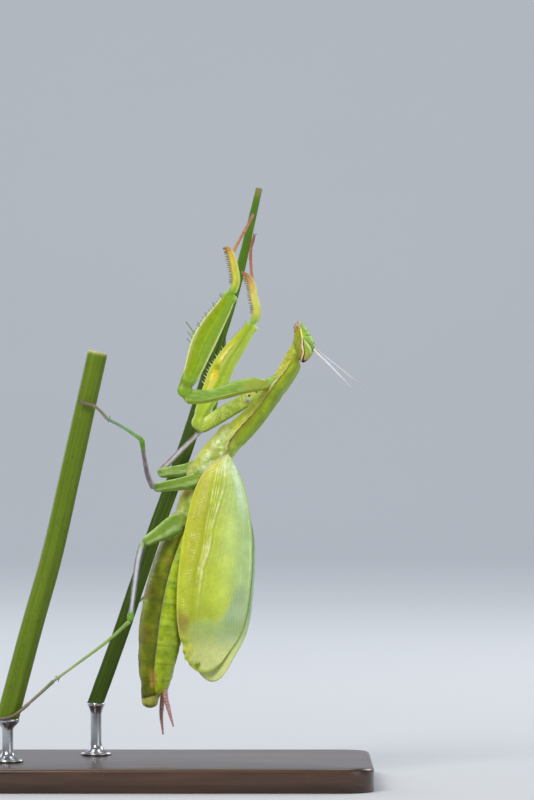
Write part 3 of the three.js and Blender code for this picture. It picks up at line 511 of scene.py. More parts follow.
class Shell:
    """One closed form of the skin, which can be drawn together with its neighbours."""

    def __init__(self, limb, rings, sides, paint, relief=None):
        self.limb, self.paint = limb, paint
        self.places, self.faces, self.colours = limb.mesh(rings, sides, paint, relief)
        self.grid = self.places[:-2].reshape(-1, sides, 3).copy()
        self.box = self.grid.min((0, 1)), self.grid.max((0, 1))

    def meet(self, other, reach):
        """Raises this shell into a soft fillet where it meets the other, and mixes their colours there."""
        flat = self.grid.reshape(-1, 3)
        close = np.all((flat > other.box[0] - reach) & (flat < other.box[1] + reach), axis=1)
        if not close.any():
            return
        start = flat[close]
        normal = grid_normals(self.grid).reshape(-1, 3)[close]
        away, _, _ = other.limb.locate(start)
        rise = np.zeros(len(start))
        for _ in range(4):
            away_now, share, turn = other.limb.locate(start + normal * rise[:, None])
            soft = np.maximum(1 - np.abs(rise - away_now) / reach, 0) ** 2 * reach / 4
            rise = np.clip(rise - (np.minimum(rise, away_now) - soft), 0, reach * 0.6)
        rise *= smooth(away, -0.3 * reach, -0.05 * reach)
        own = np.flatnonzero(close)
        self.places[own] += normal * rise[:, None]
        share_of_other = 0.5 * (1 - smooth(away_now, 0, reach * 0.9))
        tint = other.paint(share, turn, self.places[own])
        self.colours[own] = mix(self.colours[own], tint, share_of_other)


# ---------------------------------------------------------------- trunk

# How much of the abdomen's length each of its segments takes, and where each ends.
SEGMENT_SHARES = np.array([0.12, 0.12, 0.12, 0.12, 0.12, 0.11, 0.1, 0.1, 0.09])
SEGMENT_EDGES = np.cumsum(SEGMENT_SHARES)

prothorax = Limb(
    [[19.8, 0, 70], [18.2, 0, 67.3], [15.7, 0, 63.8], [13.2, 0, 60.65], [10.4, 0, 57.8], [8.9, 0, 56],
     [8.2, 0, 53.9]],
    [[0, 1.65, 1.4], [0.12, 2.2, 1.6], [0.27, 2.5, 1.6], [0.41, 1.8, 1.62], [0.55, 1.6, 1.78], [0.76, 1.8, 2.05],
     [0.9, 1.8], [1, 1.5, 1.15]], section=SHIELD, caps=(0.6, 0.9))
mesothorax = Limb([[9.6, 0, 58.6], [7.5, 0, 55.2], [6, 0, 52.4], [4.7, 0, 49]],
                  [[0, 1.3, 1.5], [0.3, 1.9, 2.15], [0.65, 2.75, 2.85], [1, 3]], caps=(0.5, 0.3))
metathorax = Limb([[5.7, 0, 51.8], [3.8, 0, 46.7], [2.2, 0, 42.2]],
                  [[0, 2.8], [0.3, 3.15, 3.1], [0.6, 3.2, 3.05], [1, 3, 2.8]], caps=(0.3, 0.3))
abdomen = Limb(
    [[2.7, 0, 43.8], [1, 0, 39.3], [-0.3, 0, 35.5], [-1.4, 0, 31], [-2.1, 0, 26.9], [-2.6, 0, 22.8],
     [-3.1, 0, 18.6], [-3.1, 0, 14.2]],
    [[0, 2.9, 2.8], [0.12, 3.5, 3.2], [0.26, 3.8, 3.4], [0.42, 4, 3.62], [0.58, 4.1, 3.66], [0.72, 3.8, 3.4],
     [0.85, 3.2, 2.9], [0.95, 2.3, 2.1], [1, 1.6, 1.4]], section=SEGMENTED, caps=(0.3, 0.7))
subgenital_plate = Limb([[-4.4, 0, 17.7], [-4.1, 0, 15], [-4.2, 0, 12.4]],
                        [[0, 2.2, 1.3], [0.5, 2.1, 1.5], [0.85, 1.7, 1.32], [1, 1.4, 1.2]], caps=(1, 0.6))

# The places from back to belly by which the paints and reliefs of the two sections count.
SHIELD_PLACES, SEGMENTED_PLACES = 8, 10


def from_back(turn, count):
    """How many of `count` places a turn is from the back on the way to the belly, alike on both sides."""
    return np.arccos(np.clip(np.sin(turn), -1, 1)) / np.pi * count


# The place of the shield's pale edge, by share of the length.
EDGE_LINE = line([[0, 4.4], [0.1, 4.7], [0.25, 5.15], [0.45, 5], [0.8, 4.2], [0.9, 3.9], [1, 3.2]])


def prothorax_paint(share, turn, places):
    place = from_back(turn, SHIELD_PLACES)
    margin = EDGE_LINE(share)
    streak = noise(places, 0.3, 2, (0.35, 1, 0.35))
    light = 1.04 + 0.1 * smooth(share, 0.5, 0.9)
    ends = smooth(share, 0.03, 0.08) * smooth(share, 1, 0.97)
    broken = 0.6 + 0.4 * patches(places, 1.3, 29, -0.3, 0.3)
    pale = 0.07 + 0.1 * smooth(share, 0.45, 0.75)
    throat = patches(places, 0.4, 70, 0.05, 0.45) * smooth(share, 0.3, 0.05)
    dots = patches(places, 0.2, 9, 0.55, 0.75) * smooth(place, 5.2, 5.6)
    return painted(
        0x86A02A, 0.36,
        (0x98AE1C, smooth(place, 1.5, 3.4)),
        (0x7C8E10, band(place, margin - 1, 0.3, 0.9) * smooth(share, 0.2, 0.4) * 0.5),
        (0xC0CA44, smooth(place, margin, margin + 0.7)),
        (0xB8B640, smooth(place, margin, margin + 0.7) * smooth(share, 0.4, 0.1) * 0.7),
        (0xA2B428, smooth(share, 0.2, 0) * 0.6),
        (0xC4D470, smooth(share, 0.7, 1) * smooth(place, 2, 4.5) * 0.85),
        (None, light + 0.08 * noise(places, 0.9, 1) + 0.06 * streak + 0.04 * noise(places, 0.35, 3)),
        (0x8A7A20, band(place, margin - 0.7, 0.1, 0.45) * ends * 0.5),
        # Painted shadow: a dark brown line on the back side of the raised pale edge.
        (0x4E3216, band(place, margin - 0.16 - pale, 0.12, 0.14) * ends * broken),
        (0xEBDFA0, band(place, margin, pale, 0.1) * ends),
        (0x8E7426, band(place, margin + 0.3, 0.04, 0.1) * ends * 0.5),
        (0xA27A26, throat * smooth(place, margin, margin + 0.9) * 0.55),
        (0xE6EAA0, dots * 0.6))


def prothorax_relief(share, turn, places):
    place = from_back(turn, SHIELD_PLACES)
    groove = -0.08 * band(share, 0.3, 0.008, 0.04) * smooth(place, 4.2, 3.6)
    margin = 0.08 * band(place, EDGE_LINE(share) - 0.1, 0.25, 0.35) * smooth(share, 1, 0.9)
    keel = 0.07 * band(place, 0, 0.12, 0.3)
    return groove + margin + keel + 0.02 * noise(places, 0.5, 4)


def thorax_paint(share, turn, places):
    place = from_back(turn, SHIELD_PLACES)
    fold = noise(places, 1.1, 7, (1, 1, 0.6))
    bright = patches(places, 0.45, 48, 0, 0.5) * smooth(places[..., 2], 50, 53.5)
    pit = np.hypot(places[..., 0] - 2, places[..., 2] - 48.2)
    return painted(
        0x9CB848, 0.42,
        # Paler on the raised folds and in patches near the wing bases: partly the whitish crumpled skin, partly
        # painted highlight.
        (0xD8E6AC, smooth(fold, -0.25, 0.45)),
        (0xF0F8DC, bright * 0.75),
        (0xBCC040, smooth(place, 4.8, 6.5) * 0.75),
        (0xB4B04A, patches(places, 1.7, 10, 0.1, 0.6) * 0.35),
        (0xA8861A, (1 - smooth(pit, 0.3, 1.3)) * 0.8),
        (None, 1 + 0.07 * noise(places, 0.35, 6)))


def thorax_relief(share, turn, places):
    fold = noise(places, 1.1, 7, (1, 1, 0.6))
    crease = noise(places, 0.8, 8, (0.5, 1, 1.6))
    fine = noise(places, 0.4, 49) * smooth(places[..., 2], 48, 53)
    return 0.18 * fold + 0.08 * crease - 0.12 * smooth(np.abs(crease), 0.12, 0) + 0.1 * fine


def within_segment(share):
    """Where in its segment a share of the abdomen lies, from 0 to 1."""
    i = np.minimum(np.searchsorted(SEGMENT_EDGES, share, side="right"), len(SEGMENT_EDGES) - 1)
    start = SEGMENT_EDGES[i] - SEGMENT_SHARES[i]
    return np.clip((share - start) / SEGMENT_SHARES[i], 0, 1)


def abdomen_paint(share, turn, places):
    place = from_back(turn, SEGMENTED_PLACES)
    within = within_segment(share)
    tergite = layers(
        0xA8BC20,
        (0x8AA61C, patches(places, 1.1, 11, -0.5, 0.5)),
        (0xB9CC4C, band(within, 0.88, 0.04, 0.14) * 0.45),
        (0x7C9A1E, band(within, 0.03, 0.02, 0.08) * 0.3),
        (0xB4CC50, smooth(place, 3.6, 2.6) * 0.5),
        (0xA9C050, patches(places, 0.7, 19, 0.25, 0.6, (0.6, 1, 1.2)) * 0.5))
    sternite = layers(
        0x5E6A00,
        (0x788008, patches(places, 1.3, 12, -0.4, 0.6)),
        (0x725E1E, patches(places, 1.8, 18, 0.2, 0.6) * 0.5),
        (0x50600C, band(within, 0.98, 0.02, 0.1) * 0.3))
    seam = smooth(share, 0.05, 0.25)
    tip = smooth(share, 0.83, 0.88) * band(place, 6.4, 0.6, 0.6) * smooth(share, 0.97, 0.92)
    return painted(
        mix(tergite, sternite, smooth(place, 5.95, 6.2)), 0.4,
        (0xB0AE7C, band(place, 6.02, 0.05, 0.1) * seam * 0.7),
        (0x4A4A2C, band(place, 6.22, 0.04, 0.1) * seam * (0.7 - 0.4 * smooth(share, 0.4, 0.8))),
        (0xB89050, tip * 0.8),
        (0xC4A86A, smooth(share, 0.95, 1) * 0.7),
        (None, 1.08 + 0.08 * noise(places, 0.5, 13) + 0.06 * noise(places, 0.18, 14)))


def abdomen_relief(share, turn, places):
    place = from_back(turn, SEGMENTED_PLACES)
    within = within_segment(share)
    back = smooth(place, 6.3, 5.7)
    step = (0.02 + 0.015 * back) * (within - 0.5) - (0.012 + 0.01 * back) * band(within, 0, 0.04, 0.14)
    fold = -0.12 * band(place, 6.12, 0.1, 0.3)
    pucker = 0.04 * noise(places, 0.55, 15, (0.7, 1, 1.6)) + 0.07 * noise(places, 1.6, 16)
    knobs = 0.03 * band(within, 0.85, 0.08, 0.1) * patches(places, 0.5, 20, -0.1, 0.5) * back
    return step + fold + pucker + knobs


def plate_paint(share, turn, places):
    edge = 0.62 - 0.08 * np.sin(turn)
    return painted(
        0x545C00, 0.4,
        (0x687000, patches(places, 0.7, 17, -0.3, 0.5)),
        (0x4A4A12, band(share, edge - 0.03, 0.02, 0.05) * 0.7),
        (0xB6BC58, smooth(share, edge, edge + 0.04)),
        (None, 1 + 0.06 * noise(places, 0.3, 17)))


# ---------------------------------------------------------------- head

# The head's own frame starts at its vertex: along runs to the mouth and forward to the face.
VERTEX, LEAN = np.array([21.5, 0, 69.6]), -0.188
TO_MOUTH = np.array([math.sin(LEAN), 0, math.cos(LEAN)])
TO_FACE = np.array([math.cos(LEAN), 0, -math.sin(LEAN)])
# Where along the head its capsule starts and ends.
CROWN, CHIN = 0.3, 5.35
# How far along the head its face's two seams lie.
SEAMS = (4.05, 4.85)
# How far along, half width, and how far forward the head's back and face lie.
CAPSULE = profile([
    [0.3, 1.5, -0.75, 0.6], [0.8, 2.05, -1, 1.15], [1.5, 2.4, -1.1, 1.6], [2.3, 2.55, -1.15, 1.95],
    [3.1, 2.4, -1.25, 2.05], [3.9, 1.95, -1.15, 1.85], [4.7, 1.45, -0.95, 1.5], [5.35, 1.15, -0.75, 1.15]])


def in_head(along, side, forward):
    along, side, forward = (np.asarray(k, float)[..., None] for k in (along, side, forward))
    return VERTEX + TO_MOUTH * along + TO_FACE * forward + np.array([0, 1, 0]) * side


def head_own(places):
    """Along, side and forward of places on the head."""
    out = places - VERTEX
    return out @ TO_MOUTH, out[..., 1], out @ TO_FACE


def to_line(x, y, ends):
    """Distance in the plane from the line through the given corners."""
    best = np.full(np.shape(x), 1e9)
    for (ax, ay), (bx, by) in zip(ends[:-1], ends[1:]):
        dx, dy = bx - ax, by - ay
        t = np.clip(((x - ax) * dx + (y - ay) * dy) / (dx * dx + dy * dy), 0, 1)
        best = np.minimum(best, np.hypot(x - ax - t * dx, y - ay - t * dy))
    return best


# Lines on the head's flank, by along and forward.
CHEEK_LINE = [(6.5, 0.16), (5, 0.24), (3.5, 0.2)]
EYE_RIM = [(4.3, -0.05), (3.4, -0.6), (2.6, -1), (1.5, -1.15)]
BROW_LINE = [(3.9, 0.16), (3.2, 0.62), (2.3, 1.15), (1.6, 1.35)]


def head_paint(share, turn, places):
    along, side, forward = head_own(places)
    flank = smooth(np.abs(side), 0.3, 0.8)
    back = smooth(forward, 0.3, -0.1)
    rim = band(to_line(along, forward, EYE_RIM), 0, 0.05, 0.14) * flank
    dots = patches(places, 0.17, 22, 0.5, 0.7) * smooth(forward, 0.8, 1.2)
    seam = band(along, SEAMS[0], 0.02, 0.07) + band(along, SEAMS[1], 0.02, 0.06)
    from_brow = to_line(along, forward, BROW_LINE)
    return painted(
        0x94BC4A, 0.38,
        (0x929E04, back),
        (0xA6902C, smooth(along, 4.2, 5.4) * back * 0.8),
        (0x7E8410, smooth(forward, -0.7, -1.1) * 0.6),
        (0x6C7614, rim * 0.5),
        (None, 1 + 0.1 * noise(places, 0.45, 21)),
        (0xE4F0C0, dots * 0.8),
        (0x5E7A1C, band(from_brow, 0.17, 0.03, 0.08) * flank * 0.6),
        (0xC7DE8A, band(from_brow, 0, 0.05, 0.08) * flank * 0.9),
        (0x7A6A1E, band(to_line(along, forward + 0.2, CHEEK_LINE), 0, 0.05, 0.1) * flank * 0.7),
        (0xF0EA7A, band(to_line(along, forward, CHEEK_LINE), 0, 0.09, 0.08) * flank),
        (0x5E741C, np.clip(seam, 0, 1) * smooth(forward, 0.5, 0.9) * 0.35))


def head_relief(share, turn, places):
    along, side, forward = head_own(places)
    front = smooth(forward, 0.4, 0.9)
    seams = -0.09 * sum(band(along, at, 0.03, 0.09) for at in SEAMS) * front
    brow = 0.1 * band(along, 2.75, 0.05, 0.35) * front * band(side, 0, 0.9, 0.5)
    cheek = 0.06 * band(to_line(along, forward, CHEEK_LINE), 0, 0.04, 0.12)
    cheek = cheek - 0.05 * band(to_line(along, forward, BROW_LINE), 0.17, 0.03, 0.1)
    crown = -0.1 * band(np.abs(side), 0.95, 0.05, 0.25) * smooth(along, 1.6, 0.8)
    sockets = 0.14 * band(np.hypot(along - 1.9, np.abs(side) - 0.75), 0.42, 0.05, 0.12) * front
    return seams + brow + cheek + crown + sockets + 0.02 * noise(places, 0.3, 23)


class Capsule:
    """The head's main form, which meets its neighbours as a limb does."""

    def locate(self, places):
        along, side, forward = head_own(places)
        inner = np.clip(along, CROWN + 0.5, CHIN - 0.45)
        half, back, front = np.moveaxis(CAPSULE(inner), -1, 0)
        middle, depth = (back + front) / 2, (front - back) / 2
        beyond = np.abs(along - inner) / 0.6
        part = np.hypot(side / half, (forward - middle) / depth)
        radius = np.where(part > 1e-6, np.hypot(side, forward - middle) / np.maximum(part, 1e-6), half)
        return (np.sqrt(part**2 + beyond**2) - 1) * radius, inner, 0 * inner

    def mesh(self, rings, sides, paint, relief):
        along, turn = np.meshgrid(np.linspace(CROWN, CHIN, rings), turns(sides), indexing="ij")
        half, back, front = np.moveaxis(CAPSULE(along), -1, 0)
        middle = (back + front) / 2
        places = in_head(along, half * np.cos(turn), middle - (front - back) / 2 * np.sin(turn))
        out = places - in_head(along, 0 * along, middle)
        out /= np.linalg.norm(out, axis=-1, keepdims=True)
        places = places + out * relief(along, turn, places)[..., None]
        places, faces = closed(places, in_head([CROWN - 0.12, CHIN], [0, 0], [0, 0]))
        return places, faces, paint(0, 0, places)


def add_ball(pile, centre, radius, paint_tone, rough=0.3, rings=10, sides=16):
    """A small bead, such as a simple eye."""
    phi, turn = np.meshgrid((np.arange(rings) + 1) / (rings + 1) * np.pi, turns(sides), indexing="ij")
    spots = np.stack([np.sin(phi) * np.cos(turn), np.sin(phi) * np.sin(turn), -np.cos(phi)], -1)
    places, faces = closed(spots, [[0, 0, -1], [0, 0, 1]])
    pile.add(places * radius + centre, faces, with_rough(np.broadcast_to(rgb(paint_tone), places.shape), rough))


# The middle of the eye's pale stripe: how far forward it lies by how far along the head.
STRIPE_ALONG = (0.3, 0.8, 1.4, 1.9, 2.7, 3.55)
STRIPE_FORWARD = (-0.62, -0.36, -0.09, -0.03, -0.02, 0.17)
# Along the head: the eye's middle and the reach of its rings. Sideways: its wall's middle, bulge and slant.
EYE_MIDDLE, EYE_REACH = 1.915, 2.085
EYE_SIDE, EYE_BULGE, EYE_SLANT = 2.55, 1.2, 0.2
# The eye's outline from the side: how far forward its rear and front edges lie by how far along the head.
EYE_OUTLINE = profile([[-0.17, -0.37, -0.33], [0.15, -0.74, 0.5], [0.6, -0.97, 1.05], [1.2, -1.13, 1.28],
                       [2, -1.16, 1.22], [2.84, -1, 0.86], [3.45, -0.66, 0.5], [4, -0.1, 0.1]])


def eye_paint(places):
    along, _, forward = head_own(places)
    off = forward - np.interp(along, STRIPE_ALONG, STRIPE_FORWARD)
    rear, front = np.moveaxis(EYE_OUTLINE(np.clip(along, -0.17, 4)), -1, 0)
    low = smooth(along, 1.7, 0.1)
    stripe = smooth(along, 3.75, 3.5)
    return painted(
        0x8E9418, 0.32,
        (0x9DBA3C, smooth(off, -0.1, 0.4)),
        (0xB09068, low * 0.7),
        (0xA07C54, smooth(along, 2.3, 0.7) * smooth(off, 0, -0.15) * 0.75),
        (0x66701A, smooth(forward - rear, 0.15, 0.06) * 0.7),
        # Painted highlight along the eye's front margin.
        (0xCFE48C, smooth(front - forward, 0.16, 0.06) * smooth(along, 1.2, 2)),
        (0x6A5A1C, band(off, -0.22, 0.02, 0.1) * stripe * 0.5),
        (0xEFD5B0, band(off, 0, 0.09, 0.06) * stripe),
        (0x3A1E0E, band(off, 0.18 + 0.04 * low, 0.03 + 0.09 * low, 0.07) * stripe),
        (0x1E120C, smooth(along, 0.2, 0) * band(off, 0.25, 0.5, 0.3)),
        (None, 1 + 0.05 * noise(places, 0.25, 24)))


def make_eye(side_name, hand, rings=60, sides=64):
    """The smooth lens over an eye, bulging to its side and slanted."""
    steps = (np.arange(rings) + 0.5) / rings * np.pi
    along, turn = np.meshgrid(EYE_MIDDLE - EYE_REACH * np.cos(steps), turns(sides), indexing="ij")
    rear, front = np.moveaxis(EYE_OUTLINE(along), -1, 0)
    height = EYE_BULGE * np.sqrt(1 - ((along - EYE_MIDDLE) / 2.1) ** 2)

    def in_eye(along, out, forward):
        return in_head(along - hand * out * EYE_SLANT, hand * (EYE_SIDE - (along - 1.62) * EYE_SLANT) + out, forward)

    wall = in_eye(along, height * np.cos(turn), (rear + front) / 2 - (front - rear) / 2 * np.sin(turn))
    places, faces = closed(wall, in_eye(np.array([-0.18, 4.01]), np.zeros(2), np.array([-0.35, 0])))
    make_piece(f"eye_{side_name}_lens", places, faces, eye_paint(places), EYE, [f"eye_{side_name}"], "eye")


def mouth_paint(share, turn, places):
    along, side, forward = head_own(places)
    return painted(
        0x929E04, 0.4,
        (0x94BC4A, smooth(forward, 0.1, 0.4)),
        (0xD2B8B0, smooth(along, 5.75, 6.1) * smooth(forward, 0.4, 0.2)),
        (0xA45C1E, band(along, 5.78, 0.1, 0.2) * smooth(forward, 0.1, -0.3) * 0.7),
        (0x4A3428, smooth(along, 6.3, 6.65) * smooth(forward, -0.1, -0.4) * 0.9),
        (0xF0EA7A, band(to_line(along, forward, CHEEK_LINE), 0, 0.09, 0.08) * smooth(np.abs(side), 0.2, 0.45)),
        (0x5E3A20, band(side, 0, 0.02, 0.06) * smooth(forward, 0.1, 0.4) * 0.5),
        (None, 1 + 0.1 * noise(places, 0.3, 25)))


def mouth_relief(share, turn, places):
    along, side, forward = head_own(places)
    lobes = -0.08 * band(side, 0, 0.02, 0.1) * smooth(along, 5.2, 5.6)
    lip = -0.1 * band(along, 5.75, 0.03, 0.08) * smooth(forward, 0, 0.3)
    jaw = -0.08 * band(forward, 0.12, 0.02, 0.08)
    return lobes + lip + jaw


# ---------------------------------------------------------------- legs

# The stations of the legs' segments: share of the length, half width and half depth.
FORE_COXA = [[0, 0.9, 0.95], [0.3, 0.95, 1.15], [0.6, 0.95, 1.26], [0.9, 0.9, 1.15], [1, 0.85, 1]]
NEAR_FORE_COXA = [[0, 0.9, 0.85], [0.15, 0.95, 0.9], [0.25, 0.95, 1.15], [0.36, 1, 1.24], [0.52, 0.95, 1.2],
                  [0.7, 0.9, 1.04], [0.88, 0.9, 1.2], [1, 0.85, 1.05]]
FORE_FEMUR = [[0, 0.85, 1.1], [0.06, 0.9, 1.2], [0.11, 0.85, 1.2], [0.22, 0.9, 1.42], [0.34, 0.95, 1.7],
              [0.52, 0.95, 1.98], [0.64, 0.9, 1.85], [0.86, 0.75, 1.3], [0.94, 0.68, 1.08], [0.98, 0.7, 1.2],
              [1, 0.68, 1.15]]
FAR_FORE_FEMUR = [[0, 0.85, 1.05], [0.06, 0.9, 1.15], [0.11, 0.85, 1.12], [0.22, 0.9, 1.4], [0.36, 0.95, 1.85],
                  [0.48, 0.95, 2.15], [0.6, 0.9, 1.95], [0.86, 0.75, 1.3], [0.94, 0.68, 1], [0.98, 0.7, 1.12],
                  [1, 0.68, 1.08]]
FORE_TIBIA = [[0, 0.5, 0.72], [0.3, 0.48, 0.7], [0.65, 0.46, 0.66], [0.85, 0.4, 0.5], [1, 0.15]]
TARSUS = [[0, 0.29], [0.45, 0.24], [0.5, 0.29], [0.75, 0.25], [0.85, 0.29], [1, 0.2]]
COXA = [[0, 1.25, 1.05], [0.3, 1.1, 0.95], [0.6, 0.92, 0.85], [1, 0.78, 0.7]]
HIND_COXA = [[0, 2, 1.1], [0.35, 1.75, 1.05], [0.65, 1.2, 0.95], [1, 0.76, 0.68]]
MID_FEMUR = [[0, 0.5], [0.15, 0.48], [0.8, 0.38], [0.94, 0.44], [1, 0.42]]
MID_TIBIA = [[0, 0.38], [0.2, 0.3], [0.9, 0.24], [1, 0.28]]
HIND_FEMUR = [[0, 0.6], [0.15, 0.6], [0.82, 0.44], [0.94, 0.55], [1, 0.5]]
HIND_TIBIA = [[0, 0.4], [0.15, 0.29], [0.9, 0.21], [1, 0.26]]

FORWARD, SIDEWAYS, UPRIGHT, TURNED = (1, 0, 0), (0, 1, 0), (0, 0, 1), (0.55, 0.77, -0.32)
# Each segment's path, which starts where the one before ends, apart from the fore feet's.
LEGS = {
    "foreleg_left": {
        "coxa": [[15.9, 0.1, 65.9], [14.2, -2.5, 65.7], [12.7, -3.4, 65.7], [10.8, -4.3, 65.3], [8.2, -5.2, 64.5],
                 [5.4, -6.1, 63.8], [2.8, -6.9, 63.7], [1.5, -7.2, 63.6]],
        "femur": [[1.9, -7, 65.6], [3, -6.6, 67.8], [4.7, -5.7, 72.4], [6.1, -4.8, 75.1], [8.1, -3.7, 78.4],
                  [9.4, -3, 80.7]],
        "tibia": [[10.1, -2.7, 82.6], [9.8, -2.3, 85], [9.3, -1.9, 87], [8.7, -1.7, 88.1], [7.9, -1.6, 88.1]],
        "tarsus": [[9.5, -1.7, 87.4], [10.9, 1.2, 90.1], [12.2, 4.4, 92.6], [12.9, 6.3, 94.1]],
    },
    "foreleg_right": {
        "coxa": [[15, 1, 65.7], [13.4, 2.8, 64.2], [8.7, 3.9, 61.4], [4.6, 4.4, 58.9], [3.6, 4.5, 58.3]],
        "femur": [[4.1, 4.5, 60.6], [6.2, 4.5, 64.9], [8.4, 4.5, 69.5], [10.8, 4.5, 72.9], [13, 4.5, 75.9]],
        "tibia": [[13.5, 4.6, 78], [13.1, 4.7, 80], [12.8, 4.8, 81.8], [12.1, 4.9, 83.5], [10.9, 4.8, 84.5]],
        "tarsus": [[12.8, 5, 82.8], [12.5, 6.2, 85.6], [12.5, 6.6, 88.3], [13.1, 6.6, 90.6]],
    },
    "midleg_left": {
        "coxa": [[4.1, -2, 50.5], [2.5, -3.4, 49.7], [-0.5, -4.2, 49.2], [-3.5, -4.9, 48.8]],
        "femur": [[-4.3, -8, 51], [-4.8, -11.6, 54], [-5.1, -14.8, 56.8]],
        "tibia": [[-8.1, -11.4, 58.7], [-10.9, -8.4, 60.1]],
        "tarsus": [[-12, -8.6, 61.4], [-13, -8.9, 62.2], [-14.4, -9.2, 62.6], [-15.4, -9.1, 62.9]],
    },
    "midleg_right": {
        "coxa": [[3.8, 2, 52.3], [2.1, 3.2, 51.6], [-0.5, 3.8, 51.3], [-2.9, 4.2, 51]],
        "femur": [[-0.8, 4.9, 53.1], [2.5, 5.6, 56.4], [4.6, 6.8, 58.5], [6.1, 9.6, 60.2]],
        "tibia": [[7.3, 10.2, 65.7], [8.1, 10, 71.1]],
        "tarsus": [[8.1, 9.5, 73.8], [8.7, 9.4, 76.4], [9.4, 9.4, 78.7]],
    },
    "hindleg_left": {
        "coxa": [[1.6, -1.9, 43.2], [0.2, -2.9, 42.6], [-2.5, -4.3, 41.2], [-5.2, -5.1, 39.7]],
        "femur": [[-5.9, -8.2, 36.5], [-6.5, -12, 31.5], [-7, -15, 27.4]],
        "tibia": [[-10.7, -13.6, 24.1], [-15.3, -11.6, 20.6], [-19.5, -10, 17.5]],
        "tarsus": [[-22.9, -9.9, 14.4], [-25.9, -9.9, 11.9], [-27.6, -10.1, 11.3], [-28.9, -9.8, 11.2]],
    },
    "hindleg_right": {
        "coxa": [[2.5, 2.2, 43.4], [0.5, 3.5, 42.7], [-1.1, 4.3, 42], [-2.5, 4.8, 41.3]],
        "femur": [[0.2, 8.5, 40.8], [1.9, 13, 39], [3.8, 18, 37]],
        "tibia": [[-0.5, 15.8, 33.8], [-4.1, 12.9, 31.2], [-6.9, 10.3, 29]],
        "tarsus": [[-7.9, 9.6, 26.1], [-8.9, 9.5, 23.3], [-9.7, 9.5, 21.1]],
    },
}


def near_femur_paint(share, turn, places):
    v = np.sin(turn)
    middle = smooth(share, 0.14, 0.22) * smooth(share, 0.97, 0.9)
    lines = band(v, 0.93, 0.02, 0.05) + band(v, -0.9, 0.03, 0.06)
    return painted(
        0x84A400, 0.38,
        (0x90AE04, patches(places, 0.3, 31, -0.4, 0.6, (0.5, 1, 0.25))),
        (0x84A838, smooth(v, 0.05, -0.45) * 0.75),
        (0xA9C257, band(v, 0, 0.04, 0.14) * smooth(share, 0.25, 0.4) * 0.5),
        (0x9A9E20, smooth(v, 0.35, 0.75) * 0.55),
        (0xE3EEA2, np.clip(lines, 0, 1) * middle),
        (0x86AE2E, (1 - middle) * 0.85),
        (0xB0D684, smooth(share, 0.94, 0.97) * smooth(np.abs(v), 0.4, 0.8) * 0.8),
        (0x6E7A1C, band(share, 0.11, 0.01, 0.03) * 0.5),
        (0xB7C95A, (np.cos(turn) >= 0) * 0.3),
        (None, 1 + 0.04 * noise(places, 0.3, 32)))


def far_femur_paint(share, turn, places):
    ragged = noise(places, 0.5, 52) * 0.6 + noise(places, 0.25, 53) * 0.4
    degrees = np.degrees(turn) + 9 * ragged
    share = share + 0.012 * ragged
    rising = smooth(share, 0.56, 0.62)
    eyespot = smooth(np.hypot((share - 0.465) / 0.055, (degrees - 168) / 24), 1.1, 0.6)
    ring = smooth(np.abs(np.hypot((share - 0.48) / 0.022, (degrees - 170) / 9) - 1), 0.5, 0.1)

    def streak(along, half, soft, where, wide, fade):
        return band(degrees, where, wide, fade) * band(share, along, half, soft)

    colours = painted(
        0xB2C834, 0.36,
        (0xBED266, smooth(degrees, 225, 262)),
        (0xE0EFAA, band(degrees, 296, 4, 8)),
        (0xBEC42C, smooth(degrees, 215, 175) * smooth(share, 0.95, 0.75) * 0.85),
        (0xF0E48A, band(degrees, 160, 5, 12) * rising * smooth(share, 0.84, 0.66)),
        (0xCBD27A, band(degrees, 192, 8, 14) * smooth(share, 0.4, 0.6) * smooth(share, 0.9, 0.75) * 0.7),
        (0x9AB020, band(degrees, 175, 3, 6) * rising * smooth(share, 0.8, 0.7) * 0.7),
        (0xF2DC34, eyespot),
        (0xE0A024, ring * 0.5),
        # Painted highlight: a thin white-yellow streak on the yellow eyespot.
        (0xFAF0A0, streak(0.44, 0.03, 0.02, 158, 3, 5) * 0.8),
        (0x96A010, streak(0.54, 0.006, 0.025, 165, 14, 14) * 0.7),
        (0xE2D278, streak(0.36, 0.05, 0.05, 166, 6, 10) * 0.8),
        (0xE4DE50, streak(0.38, 0.06, 0.06, 188, 8, 14) * 0.8),
        (0x8FB226, band(degrees, 212, 4, 14) * smooth(share, 0.2, 0.3) * 0.5),
        (0xB4D67C, smooth(share, 0.94, 0.98) * 0.5),
        (0x9CB43C, smooth(share, 0.3, 0.16) * 0.7),
        (0xB4D294, smooth(share, 0.2, 0.1) * smooth(degrees, 165, 135) * 0.8),
        (None, 1.04 + 0.1 * smooth(degrees, 195, 235)))
    return np.minimum(colours, 0.98)


def femur_relief(share, turn, places):
    v = np.sin(turn)
    middle = smooth(share, 0.12, 0.24) * smooth(share, 0.97, 0.9)
    hollow = -0.14 * band(v, 0.1, 0.35, 0.35) * smooth(np.abs(np.cos(turn)), 0.2, 0.6)
    rims = 0.08 * (band(v, 0.93, 0.02, 0.06) + band(v, -0.9, 0.03, 0.07))
    neck = -0.12 * band(share, 0.105, 0.008, 0.03)
    lobes = 0.12 * smooth(share, 0.92, 0.96) * smooth(np.abs(v), 0.4, 0.8)
    lobes = lobes - 0.16 * smooth(share, 0.94, 0.98) * band(v, 0, 0.3, 0.3)
    return (hollow + rims) * middle + neck + lobes + 0.015 * noise(places, 0.4, 34)


def fore_tibia_paint(amber, *tones):
    """Tones from knee to tip, with a pale outer edge and an inner one as amber as said."""
    ground = plain(*tones, rough=0.36)

    def paint(share, turn, places):
        v = np.sin(turn)
        return painted(
            ground(share, turn, places)[..., :3], 0.36,
            (0xB4822C, smooth(v, 0.4, 0.9) * smooth(share, 0.1, 0.3) * amber),
            (0xE6EE9C, band(v, -0.72, 0.06, 0.14) * smooth(share, 0.95, 0.8) * 0.7),
            (0x86A82E, smooth(v, -0.85, -1) * 0.5))

    return paint


